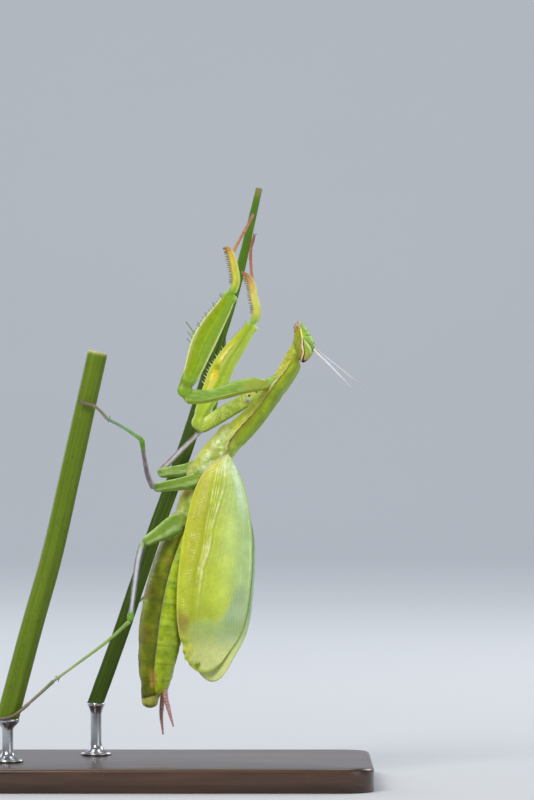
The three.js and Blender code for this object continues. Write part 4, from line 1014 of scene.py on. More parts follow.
def near_coxa_paint(share, turn, places):
    v = np.sin(turn)
    streak = noise(places, 0.3, 35, (0.2, 1, 1))
    ridge = 0.45 + 0.15 * band(share, 0.33, 0.08, 0.15)
    gleam = np.hypot((share - 0.18) / 0.06, (v + 1) / 0.2) + 0.5 * noise(places, 0.4, 36)
    dots = patches(places, 0.22, 36, 0.55, 0.72) * smooth(share, 0.9, 0.98)
    return painted(
        0x86AC3C, 0.38,
        (0x9CBC5A, smooth(streak, -0.3, 0.7)),
        (0xA2C25A, smooth(share, 0.5, 0.36) * 0.5),
        (0xB4B838, smooth(share, 0.46, 0.3) * band(v, -0.1, 0.3, 0.4) * 0.7),
        (0x98A010, smooth(v, ridge, ridge + 0.1) * (0.4 + 0.5 * smooth(share, 0.7, 0.5))),
        (0xD8DC6C, band(v, ridge, 0.025, 0.04) * smooth(share, 0.12, 0.22)
         * (0.8 - 0.4 * smooth(share, 0.6, 0.8))),
        (0xDCEEC4, smooth(gleam, 1, 0.3) * 0.85),
        (0xEDF2CC, dots * 0.8))


def coxa_relief(share, turn, places):
    v = np.sin(turn)
    return 0.04 * band(v, 0.48, 0.04, 0.1) - 0.06 * band(v, -0.1, 0.2, 0.3) + 0.02 * noise(places, 0.4, 37)


# The share of the length and the turn in degrees of each callus.
CALLUSES = np.array([[0.26 + 0.035 * i + chance.uniform(-0.012, 0.012), 116 + 20 * k + chance.uniform(-7, 7)]
                     for i in range(20) for k in range(7)])
FORE_COXA_LENGTH, FORE_COXA_RADIUS, CALLUS_RADIUS = 13.5, 1.1, 0.15


def callus_field(share, turn):
    """1 on the round calluses of the right fore coxa."""
    field = np.zeros_like(share)
    for at, degrees in CALLUSES:
        around = np.radians(np.degrees(turn) - degrees) * FORE_COXA_RADIUS
        away = np.hypot((share - at) * FORE_COXA_LENGTH, around)
        field = np.maximum(field, 1 - smooth(away, CALLUS_RADIUS * 0.4, CALLUS_RADIUS))
    return field


def far_coxa_paint(share, turn, places):
    degrees = np.degrees(turn)
    ragged = 0.5 * noise(places, 0.45, 39) + 0.3 * noise(places, 0.2, 47)

    def blot(at, where, long, wide):
        return smooth(np.hypot((share - at) / long, (degrees - where) / wide) + ragged, 1.15, 0.75)

    sparse = 0.35 + 0.65 * patches(places, 0.7, 71, -0.3, 0.2)
    return painted(
        0xC6DC58, 0.4,
        (0xE0F084, patches(places, 0.6, 38, -0.3, 0.6)),
        (0xFAFC96, callus_field(share, turn) * sparse),
        (0xD6D87C, blot(0.205, 200, 0.075, 26)),
        (0xC9C6B4, blot(0.3, 182, 0.045, 34) * 0.8),
        (0x9C6E60, blot(0.325, 165, 0.02, 14) * 0.5),
        (0x1E2208, np.maximum(blot(0.125, 205, 0.022, 18), blot(0.262, 204, 0.02, 13)) * 0.9),
        (0x6E8A1C, smooth(np.sin(turn), 0.6, 0.9) * smooth(share, 0.2, 0.3) * 0.6),
        (0x86A634, smooth(share, 0.92, 1) * 0.5))


def far_coxa_relief(share, turn, places):
    hollow = np.hypot((share - 0.27) / 0.05, (np.degrees(turn) - 195) / 30)
    return 0.05 * callus_field(share, turn) + 0.03 * noise(places, 0.4, 40) - 0.15 * smooth(hollow, 1, 0)


def ringed(shares, depth=0.05, width=0.012):
    """A relief with joints at the given shares."""

    def relief(share, turn, places):
        return sum(-depth * band(share, at, width * 0.4, width) for at in shares) + 0.012 * noise(places, 0.2, 41)

    return relief


def soft_relief(share, turn, places):
    return 0.02 * noise(places, 0.4, 42)


def coxa_paint(share, turn, places):
    """Green with long pale ridges, whiter towards the body."""
    streak = np.cos(turn * 4 + share * 2) + 0.7 * noise(places, 0.5, 43, (0.4, 1, 1))
    return painted(
        0x7A9A34, 0.4,
        (0xAECC7C, smooth(streak, -0.4, 1.3)),
        (0x9EB868, smooth(np.sin(turn), -0.1, 0.8) * 0.5),
        (0xBCC45C, smooth(share, 0.3, 0) * 0.5),
        (0x74A058, smooth(share, 0.85, 1) * 0.4),
        (None, 1 + 0.05 * noise(places, 0.3, 44)))


def ridged(share, turn, places):
    return 0.07 * np.cos(turn * 4 + share * 2) * smooth(share, 1, 0.8) + 0.04 * noise(places, 0.5, 45)


def thigh(dark, pale, knee):
    """Glassy between two tones, with painted highlights along its edges, and green from the share `knee` on."""

    def paint(share, turn, places):
        return painted(
            dark, 0.34,
            (pale, patches(places, 0.5, 46, -0.4, 0.5, (1, 1, 0.3))),
            # Painted highlights along both edges.
            (0xE2E2E8, smooth(np.abs(np.sin(turn)), 0.75, 0.95) * 0.75),
            (dark, band(np.sin(turn), 0.55, 0.06, 0.1) * 0.6),
            (0x86A05C, smooth(share, 0.16, 0.04) * 0.6),
            (0x6EA036, smooth(share, knee, 0.94)))

    return paint


foot_relief = ringed((0.46, 0.62, 0.74, 0.84))
near_tibia_paint = fore_tibia_paint(0.45, 0x8CB83A, 0xB6C23E, 0xC8CC48, 0xD0C44C, 0xCCB04A, 0x94602E)
far_tibia_paint = fore_tibia_paint(0.3, 0xAED258, 0xE8EC6C, 0xFCF88C, 0xF4E07C, 0xD8A868, 0x9C6248)
# Each segment's stations, wide direction, section, rings, sides, paint and relief.
SEGMENTS = {
    "foreleg_left": {
        "coxa": (NEAR_FORE_COXA, SIDEWAYS, round_section, 190, 100, near_coxa_paint, coxa_relief),
        "femur": (FORE_FEMUR, SIDEWAYS, flattened, 90, 56, near_femur_paint, femur_relief),
        "tibia": (FORE_TIBIA, SIDEWAYS, round_section, 50, 32, near_tibia_paint, soft_relief),
        "tarsus": (TARSUS, UPRIGHT, round_section, 50, 18, plain(0xB98C60, 0xA8734E, 0x98684C), foot_relief),
    },
    "foreleg_right": {
        "coxa": (FORE_COXA, SIDEWAYS, round_section, 190, 100, far_coxa_paint, far_coxa_relief),
        "femur": (FAR_FORE_FEMUR, TURNED, flattened, 90, 56, far_femur_paint, femur_relief),
        "tibia": (FORE_TIBIA, SIDEWAYS, round_section, 50, 32, far_tibia_paint, soft_relief),
        "tarsus": (TARSUS, UPRIGHT, round_section, 50, 18, plain(0xC08068, 0xB07462, 0x9A6A58), foot_relief),
    },
    "midleg": {
        "coxa": (COXA, UPRIGHT, round_section, 40, 32, coxa_paint, ridged),
        "femur": (MID_FEMUR, UPRIGHT, round_section, 60, 24, thigh(0x84767E, 0xA496A4, 0.7), soft_relief),
        "tibia": (MID_TIBIA, UPRIGHT, round_section, 40, 20, plain(0x6E9E48, 0x729A6C, 0x768E7E), soft_relief),
        "tarsus": (TARSUS, UPRIGHT, round_section, 50, 16, plain(0x86906A, 0x8C8270, 0x6F6254), foot_relief),
    },
    "hindleg": {
        "coxa": (HIND_COXA, UPRIGHT, round_section, 44, 36, coxa_paint, ridged),
        "femur": (HIND_FEMUR, FORWARD, round_section, 60, 24, thigh(0x525C64, 0x6A6E76, 0.88), soft_relief),
        "tibia": (HIND_TIBIA, UPRIGHT, round_section, 50, 20, plain(0x86AA50, 0x9CB46C, 0xA2AE7E), soft_relief),
        "tarsus": (TARSUS, UPRIGHT, round_section, 50, 16, plain(0x7E8A5E, 0x8C8470, 0x6F6254), foot_relief),
    },
}
# Rows of spines: count, first and last share of the length, turn in degrees, lean and the lengths in order.
FORE_SPINES = {
    "near femur": [(3, 0.46, 0.54, 88, 0.55, (1, 1.5, 2.4)), (4, 0.6, 0.92, 112, 0.5, (0.9,)),
                   (18, 0.5, 0.95, 76, 0.5, (0.45, 0.65, 0.5))],
    "far femur": [(8, 0.37, 0.56, 60, 0.35, (0.95, 0.6)), (9, 0.58, 0.78, 66, 0.5, (0.5, 0.75, 0.4)),
                  (4, 0.42, 0.92, 112, 0.5, (0.9,)), (10, 0.78, 0.97, 72, 0.45, (0.3, 0.42)),
                  (8, 0.42, 0.68, 84, 0.5, (0.5,))],
    "near tibia": [(12, 0.2, 0.88, 112, 0.4, (0.4, 0.46)), (19, 0.16, 0.9, 84, 0.25, (0.5, 0.56))],
    "far tibia": [(12, 0.2, 0.86, 112, 0.4, (0.4, 0.46)), (17, 0.16, 0.88, 80, 0.3, (0.48, 0.54))],
}
NEAR_SPINE, FAR_SPINE, TIBIA_SPINE = ((0x8CB450, 0x7F9C50, 0x2E3A20), (0xCFDDA0, 0xC4D09C, 0x4A5A34),
                                      (0xC0A83C, 0x94803A, 0x4A3E24))
CLAW, SPUR = (0x8A7050, 0x5A3A24, 0x33201A), (0x7C9A5C, 0x6A6A40, 0x3A2E20)
CLAW_LENGTH, SPUR_LENGTH, CLAW_RADIUS, SPINE_TIP, SUNK = 0.72, 0.6, 0.13, 0.035, 0.25


def add_spike(pile, root, direction, length, radius, tones, bend=0):
    """A tapered spine or bent claw, sunk in at its root, that runs through tones from root to tip."""
    direction = direction / np.linalg.norm(direction)
    points = [root - direction * SUNK, root + direction * length * 0.5 + bend * 0.25,
              root + direction * length + bend]
    side = np.cross(direction, [0.3, 0.9, 0.2])
    spike = Limb(points, [[0, radius], [0.35, radius * 0.75], [1, SPINE_TIP]], across=side)
    pile.add(*spike.mesh(8, 9, plain(*tones, rough=0.3)))


def add_fore_spines(pile, limb, segment, hand):
    """The rows of spines of a foreleg's segment, if it has any."""
    rows = FORE_SPINES.get(f"{'near' if hand < 0 else 'far'} {segment}", ())
    tones = TIBIA_SPINE if segment == "tibia" else NEAR_SPINE if hand < 0 else FAR_SPINE
    for count, low, high, degrees, lean, lengths in rows:
        turn = math.radians(degrees if hand < 0 else 180 - degrees)
        for i in range(count):
            share = low + (high - low) * i / (count - 1)
            length = lengths[i % len(lengths)] * chance.uniform(0.92, 1.08)
            add_spike(pile, *limb.root(share, turn, lean), length, 0.09 + 0.035 * length, tones)


def add_claws(pile, limb):
    """The two claws at a foot's tip."""
    centre, tangent, _, _ = limb.frame_at(np.array([1 - 0.2 / limb.length]))
    spread = np.cross(tangent[0], [0, 1, 0])
    spread /= np.linalg.norm(spread)
    for hand in (-1, 1):
        direction = tangent[0] + spread * hand * 0.7
        add_spike(pile, centre[0], direction, CLAW_LENGTH, CLAW_RADIUS, CLAW, -spread * hand * 0.18)


def neck_paint(share, turn, places):
    dots = patches(places, 0.18, 27, 0.5, 0.7) * smooth(np.degrees(turn), 180, 230)
    return painted(
        0xA8B428, 0.4,
        (0xC2C84A, patches(places, 0.8, 26, -0.3, 0.5)),
        (0xA27A26, patches(places, 0.4, 70, 0.1, 0.5) * 0.45),
        (0xF0EFD0, dots * 0.9))


def neck_relief(share, turn, places):
    return 0.06 * noise(places, 0.5, 28, (1, 1, 1.6))


def shoulder_paint(share, turn, places):
    return painted(
        0x94B848, 0.38,
        (0xA8C464, patches(places, 0.6, 50, -0.4, 0.5)),
        (0xC6D98C, smooth(share, 0.85, 0.98) * 0.7))


neck = Limb([[18.7, 0, 69], [19.5, 0, 70.6], [20.4, 0, 72.2], [20.9, 0, 73.4]],
            [[0, 1.5, 1.2], [0.4, 1.5, 1.1], [0.8, 1.35, 0.95], [1, 1.1, 0.7]])
shoulder_left = Limb([[17, -1.2, 66.6], [16, -1.7, 66.3], [14.9, -2.2, 65.75]],
                     [[0, 0.6], [0.5, 0.75], [1, 0.65]])
shoulder_right = Limb([[16.5, 1.2, 66.3], [15.4, 1.7, 65.7], [14.3, 2.2, 65]],
                      [[0, 0.6], [0.5, 0.85], [1, 0.7]])
mouth = Limb([in_head(4.4, 0, 0.3), in_head(5.5, 0, 0.05), in_head(6.55, 0, -0.3)],
             [[0, 1.15, 1.05], [0.5, 0.95], [0.85, 0.7, 0.72], [1, 0.5, 0.55]], caps=(1, 0.7))
shells = {
    "prothorax": Shell(prothorax, 130, 72, prothorax_paint, prothorax_relief),
    "mesothorax": Shell(mesothorax, 60, 72, thorax_paint, thorax_relief),
    "metathorax": Shell(metathorax, 60, 72, thorax_paint, thorax_relief),
    "abdomen": Shell(abdomen, 230, 84, abdomen_paint, abdomen_relief),
    "subgenital_plate": Shell(subgenital_plate, 40, 48, plate_paint, soft_relief),
    "head": Shell(Capsule(), 90, 96, head_paint, head_relief),
    "mouthparts": Shell(mouth, 50, 56, mouth_paint, mouth_relief),
    "neck": Shell(neck, 40, 56, neck_paint, neck_relief),
    "shoulder_left": Shell(shoulder_left, 30, 32, shoulder_paint, soft_relief),
    "shoulder_right": Shell(shoulder_right, 30, 32, shoulder_paint, soft_relief),
}
# Pairs of shells with how far the fillet between them reaches, in mm.
meetings = [("neck", "prothorax", 0.7), ("neck", "head", 0.8), ("head", "mouthparts", 0.35),
            ("prothorax", "mesothorax", 1.1), ("mesothorax", "metathorax", 1.4), ("metathorax", "abdomen", 1.2),
            ("abdomen", "subgenital_plate", 0.35), ("shoulder_left", "prothorax", 0.9),
            ("shoulder_right", "prothorax", 0.9)]
spines = {"foreleg_left": Pile(), "foreleg_right": Pile()}
claws = Pile()
replaced = ["prothorax", "mesothorax", "metathorax", "abdomen", "subgenital_plate", "head", "mouthparts", "neck"]
for leg, segments in LEGS.items():
    kind, side_name = leg.split("_")
    fore, hand = kind == "foreleg", -1 if side_name == "left" else 1
    looks = SEGMENTS.get(leg) or SEGMENTS[kind]
    previous, joint = None, []
    for segment, points in segments.items():
        stations, across, section, rings, sides, paint, relief = looks[segment]
        if fore and segment == "tarsus":
            joint = []
        limb = Limb(joint + points, stations, across, section, (1, 0.5 if fore and segment == "femur" else 1))
        joint = points[-1:]
        name = f"{leg}_{segment}"
        shells[name] = Shell(limb, rings, sides, paint, relief)
        replaced.append(name)
        if previous:
            meetings.append((previous, name, 0.3 if fore else 0.2))
        previous = name
        if fore:
            add_fore_spines(spines[leg], limb, segment, hand)
        elif segment == "tibia":
            for turn in (math.pi / 2 - 1.1, math.pi / 2 + 1.1):
                add_spike(claws, *limb.root(0.95, turn, 1.2), SPUR_LENGTH, CLAW_RADIUS, SPUR)
        if segment == "tarsus":
            add_claws(claws, limb)
for side_name in ("left", "right"):
    meetings += [(f"{one}_{side_name}_coxa", other, reach) for one, other, reach in
                 (("foreleg", "prothorax", 0.9), ("foreleg", f"shoulder_{side_name}", 0.5),
                  ("midleg", "mesothorax", 1.2), ("midleg", "metathorax", 1.2), ("hindleg", "metathorax", 1.3),
                  ("hindleg", "abdomen", 0.8))]
for one, other, reach in meetings:
    shells[one].meet(shells[other], reach)
    shells[other].meet(shells[one], reach)

SIMPLE_EYE_RADIUS = 0.22
THROAT_DENTICLES = [[18.9, 71.5], [18.3, 70.7], [17.75, 69.75], [17.25, 68.9]]
# The knob in the crease between a middle leg and the body.
CREASE, CREASE_RADIUS = (3.57, 3.12, 51.27), 0.42
# The feelers of the mouth, by along, side and forward on the head.
PALPS = [[[4.9, 0.7, 0.1], [5.7, 0.95, 0.05], [6.4, 0.75, 0], [6.75, 0.45, -0.05]],
         [[5.2, 0.5, -0.35], [5.9, 0.65, -0.5], [6.4, 0.45, -0.5]]]
skin = Pile()
for shell in shells.values():
    skin.add(shell.places, shell.faces, shell.colours)
for place in ((1.35, 0, 1.42), (0.95, 0.5, 1.18), (0.95, -0.5, 1.18)):
    add_ball(skin, in_head(*place), SIMPLE_EYE_RADIUS, 0xB4B462, 0.15)
for x, z in THROAT_DENTICLES:
    for y in (-0.35, 0.3):
        shift = np.array([chance.uniform(-0.05, 0.02), y + chance.uniform(-0.2, 0.2), chance.uniform(-0.15, 0.15)])
        add_ball(skin, np.array([x, 0, z]) + shift, chance.uniform(0.09, 0.14), 0xE6E8CC, 0.4, 5, 8)
for hand in (-1, 1):
    add_ball(skin, np.array(CREASE) * (1, hand, 1), CREASE_RADIUS, 0x98B050, 0.42)
    for palp in PALPS:
        feeler = Limb([in_head(a, hand * s, f) for a, s, f in palp],
                      [[0, 0.2], [0.45, 0.17], [0.5, 0.2], [0.8, 0.19], [1, 0.1]])
        skin.add(*feeler.mesh(24, 14, plain(0xA4A458, 0xC4ACA4, 0x8E7066), ringed((0.48, 0.76), 0.04, 0.02)))
skin.make("mantis_skin", SKIN, replaced, "green_skin")
for leg, pile in spines.items():
    pile.make(f"{leg}_spines", SPINE, (), "green_skin")
claws.make("foot_claws", SPINE, (), "tarsus_skin")
make_eye("left", -1)
make_eye("right", 1)

# ---------------------------------------------------------------- antennae and cerci

# The hand, the root on the head, the middle and the tip, with y counted outwards.
ANTENNAE = {"left": (-1, (1.8, 0.75, 1.55), [25.4, 3.6, 69], [29, 7.6, 65.2]),
            "right": (1, (2.25, 0.75, 1.55), [26.9, 3.6, 68.7], [31.5, 7.6, 65.2])}
ANTENNA_RINGS = 38


def antenna_relief(share, turn, places):
    rings = 0.025 * np.cos(share * 2 * np.pi * ANTENNA_RINGS) * smooth(share, 0.1, 0.15)
    return rings - 0.06 * band(share, 0.11, 0.006, 0.012)


def antenna_paint(share, turn, places):
    return painted(
        0xC4D090, 0.5,
        (0xE9E8F0, smooth(share, 0.02, 0.06)),
        (0xACA8B4, smooth(np.cos(share * 2 * np.pi * ANTENNA_RINGS), -0.2, -0.9) * 0.5),
        (0xC4C0CC, smooth(share, 0.6, 1)))


for side_name, (hand, base, middle, tip) in ANTENNAE.items():
    mirror = np.array([1, hand, 1])
    antenna = Limb([in_head(*base * mirror), middle * mirror, tip * mirror],
                   [[0, 0.3], [0.04, 0.28], [0.07, 0.17], [0.5, 0.14], [1, 0.06]])
    pile = Pile()
    pile.add(*antenna.mesh(300, 14, antenna_paint, antenna_relief))
    pile.make(f"antenna_{side_name}_feeler", FEELER, [f"antenna_{side_name}"], "antenna")

CERCI = {"left": [[-1.7, -1, 16], [-1.5, -1.5, 14.2], [-0.9, -2, 11.9], [-0.2, -2.4, 9.4]],
         "right": [[-1.8, 1, 15.8], [-2.1, 1.5, 13.7], [-2.3, 1.9, 11.2], [-2, 2.2, 7.8]]}
CERCUS_RINGS = 13


def cercus_relief(share, turn, places):
    return 0.05 * np.abs(np.sin(share * np.pi * CERCUS_RINGS)) - 0.03


def cercus_paint(share, turn, places):
    return painted(
        0xAA7E7C, 0.45,
        (0xC29494, np.abs(np.sin(share * np.pi * CERCUS_RINGS))),
        (None, 1 + 0.08 * noise(places, 0.2, 51)))


for side_name, points in CERCI.items():
    cercus = Limb(points, [[0, 0.42], [0.3, 0.4], [1, 0.12]])
    pile = Pile()
    pile.add(*cercus.mesh(110, 18, cercus_paint, cercus_relief))
    for share in np.linspace(0.15, 0.95, 22):
        turn = chance.uniform(0, 2 * math.pi)
        add_spike(pile, *cercus.root(share, turn, 1.2), 0.22, 0.018, (0xB08A80, 0xC8A8A0))
    pile.make(f"cercus_{side_name}_feeler", FEELER, [f"cercus_{side_name}"], "mouth_skin")

# ---------------------------------------------------------------- wings

# By share of the length: how far out the tegmen's front lies at the side of the body, and how far out its
# field on the back lies with the share of the width where it begins.
FLANK = line([[0, 2.75], [0.05, 3.35], [0.15, 4], [0.35, 4.5], [0.55, 4.7], [0.72, 4.2], [0.86, 3], [1, 2.2]])
FIELD = profile([[0, 2.35, 0.7], [0.06, 2.55, 0.72], [0.14, 2.55, 0.75], [0.22, 2.1, 0.7], [0.36, 1.7, 0.5],
                 [1, 1.7, 0.5]])


def tegmen_side(u, v):
    out, start = np.moveaxis(FIELD(v), -1, 0)
    wrap = 0.5 + 0.5 * np.cos(np.minimum(u / start * 0.8, 1) * np.pi)
    return out + (FLANK(v) - out) * wrap


TEGMEN = {
    "costal": [[8.4, 54.3], [5.9, 52.7], [3.7, 49.4], [1.7, 42.1], [0.5, 33.5], [0.5, 26.1], [1.7, 20.4]],
    "anal": [[8.9, 54.2], [10, 52.2], [11.6, 48.3], [12.7, 40.9], [12.4, 31.8], [11, 24.9], [7.8, 20.1]],
    "bulge": 2, "side": tegmen_side, "thickness": 0.26,
}
HINDWING = {
    "costal": [[8.4, 49.5], [7.9, 46], [6.4, 41.7], [5, 36.8], [3.7, 30.2], [2.8, 23.6], [3.5, 19]],
    "anal": [[8.9, 51], [10.3, 49.2], [11.4, 47], [13.1, 40.4], [12.95, 31.8], [11.9, 25], [9.2, 19.7]],
    "bulge": 2.6, "side": lambda u, v: 0.65 + 0.6 * smooth(u, 0.3, 0.8) * smooth(v, 0.3, 0.6), "thickness": 0.2,
}
# The tegmen's veins: how far across they run at VEIN_STOPS of the length, their width in mm and strength.
VEIN_STOPS = (0, 0.17, 0.27, 0.38, 0.46, 0.54, 0.63, 1)
VEINS = [
    ((0.34, 0.35, 0.345, 0.31, 0.305, 0.27, 0.25, 0.2), 0.18, 0.7),
    ((0.42, 0.41, 0.39, 0.345, 0.335, 0.29, 0.265, 0.22), 0.15, 0.6),
    ((0.5, 0.47, 0.43, 0.37, 0.355, 0.31, 0.285, 0.25), 0.17, 0.65),
    ((0.6, 0.58, 0.49, 0.4, 0.385, 0.32, 0.305, 0.28), 0.26, 1),
    ((0.68, 0.65, 0.57, 0.47, 0.44, 0.39, 0.37, 0.34), 0.11, 0.3),
    ((0.74, 0.72, 0.65, 0.56, 0.52, 0.48, 0.46, 0.44), 0.1, 0.22),
    ((0.81, 0.79, 0.73, 0.66, 0.63, 0.6, 0.58, 0.56), 0.1, 0.2),
    ((0.87, 0.86, 0.82, 0.77, 0.74, 0.72, 0.7, 0.7), 0.1, 0.2),
    ((0.93, 0.92, 0.9, 0.88, 0.86, 0.85, 0.85, 0.85), 0.1, 0.35),
    ((0.97, 0.97, 0.97, 0.97, 0.97, 0.97, 0.97, 0.97), 0.1, 0.6),
]
COSTAL_EDGE = line([[0, 0.26], [0.17, 0.275], [0.27, 0.29], [0.38, 0.265], [0.46, 0.26], [0.54, 0.235],
                    [0.63, 0.225], [1, 0.2]])


# Lengths in mm along or across a wing.
CROSS_SPACING, STRIA_SPACING, BEAD_SPACING, RIB_SPACING = 0.4, 0.42, 0.43, 0.6
TEGMEN_LENGTH = 32
# The edges grow thin over these widths; the tip's is taken on a wing of RIM_LENGTH.
SIDE_RIM, TIP_RIM, RIM_LENGTH = 0.4, 0.6, 30


def vein_field(u, v, across):
    """Up to 1 on the main veins; across is the wing's width there."""
    field = np.zeros_like(u)
    for stops, width, strength in VEINS:
        away = np.abs(u - line(list(zip(VEIN_STOPS, stops)))(v)) * across
        field = np.maximum(field, (1 - smooth(away, 0.3 * width, width)) * strength)
    return field


def beads(places, ground, regular, ragged):
    """How high or bright the beads along the veins are."""
    wave = np.cos(places[..., 2] * 2 * np.pi / BEAD_SPACING + 3 * noise(places, 0.9, 57))
    return ground + regular * wave + ragged * noise(places, 0.7, 59)


def in_costal(u, v, soft):
    """1 in the field along the tegmen's front edge."""
    return smooth(u, COSTAL_EDGE(v) + 0.01, COSTAL_EDGE(v) - soft)


def cross_veins(u, v, places, across):
    """Up to 1 on the short cross veins of the costal field, which fan out near the root."""
    slant = 0.9 * (1 - smooth(v, 0.25, 0.5))
    reach = 0.22 - 0.1 * smooth(v, 0.35, 0.55)
    phase = places[..., 2] / CROSS_SPACING - u * across * slant + 0.8 * noise(places, 1, 67, (1, 0.3, 1))
    broken = 0.85 + 0.6 * noise(places, 0.45, 69, (1, 0.3, 1))
    strokes = smooth(np.cos(phase * 2 * np.pi), -0.1, 0.9) * np.clip(broken, 0.2, 1)
    patchy = 0.25 + 0.75 * patches(places, 0.9, 54, -0.2, 0.4, (1, 0.3, 0.6))
    patchy = np.maximum(patchy, 0.8 * smooth(v, 0.4, 0.3)) * smooth(v, 0.78, 0.68)
    edge = COSTAL_EDGE(v)
    return strokes * patchy * band(u, 0.58 * edge, reach * edge, 0.2 * edge)


def striae(u, across, places, spacing=STRIA_SPACING):
    """Fine veins along the wing, unevenly spaced and faint in places."""
    phase = u * across / spacing + 0.5 * noise(places, 0.8, 55, (1, 0.3, 0.12))
    return smooth(np.cos(phase * 2 * np.pi), 0, 1) * (0.6 + 0.4 * noise(places, 1.2, 56, (1, 0.3, 0.2)))


def wing_grid(spec, hand, columns, rows):
    """Places on the wing's middle sheet with their u (front to rear) and v (root to tip)."""
    share, u = np.meshgrid(np.linspace(0, 1, rows + 1), np.linspace(0, 1, columns + 1), indexing="ij")
    front, rear = (catmull([[x, 0, z] for x, z in spec[k]])(share) for k in ("costal", "anal"))
    # The edges' first of six spans leads up to the wing's root, so v starts after it.
    v = np.maximum(share * 6 - 1, 0) / 5
    places = front * (1 - u)[..., None] + rear * u[..., None]
    places[..., 2] -= spec["bulge"] * 4 * u * (1 - u) * v**3
    places[..., 1] = hand * spec["side"](u, v)
    return places, u, v, np.linalg.norm(rear - front, axis=-1)


def wing_faces(columns, rows):
    width = columns + 1
    count = width * (rows + 1)
    faces = []
    for r in range(rows):
        for c in range(columns):
            a = r * width + c
            quad = [a, a + 1, a + 1 + width, a + width]
            faces.append(quad)
            faces.append([k + count for k in reversed(quad)])
    rim = list(range(columns)) + [width * r + columns for r in range(rows)]
    rim += [width * rows + c for c in range(columns, 0, -1)] + [width * r for r in range(rows, 0, -1)]
    for a, b in zip(rim, rim[1:] + rim[:1]):
        faces.append([b, a, a + count, b + count])
    return faces


def tegmen_relief(u, v, places, across):
    costal = in_costal(u, v, 0.04)
    raised = 0.12 * vein_field(u, v, across) * beads(places, 0.7, 0.15, 0.4) * (1 - 0.7 * v)
    raised = raised + 0.012 * striae(u, across, places) * (1 - costal)
    raised = raised + 0.06 * cross_veins(u, v, places, across) + 0.06 * smooth(u * across, 0.22, 0.08)
    gutter = -0.015 * band(u, COSTAL_EDGE(v) + 0.02, 0.01, 0.06) * smooth(v, 0.05, 0.2) * smooth(v, 0.8, 0.5)
    cells = 0.04 * noise(places, 0.42, 61, (1, 0.3, 1)) * costal
    waves = 0.1 * np.sin(u * 9 + v * 3) * smooth(v, 0.1, 0.4) + 0.1 * noise(places, 2.2, 62, (1, 0.3, 0.5))
    crumple = 0.55 * noise(places, 0.8, 63, (1, 0, 1)) * smooth(v, 0.84, 0.92) * smooth(u, 0.4, 0.05)
    return raised, gutter + cells + waves + crumple


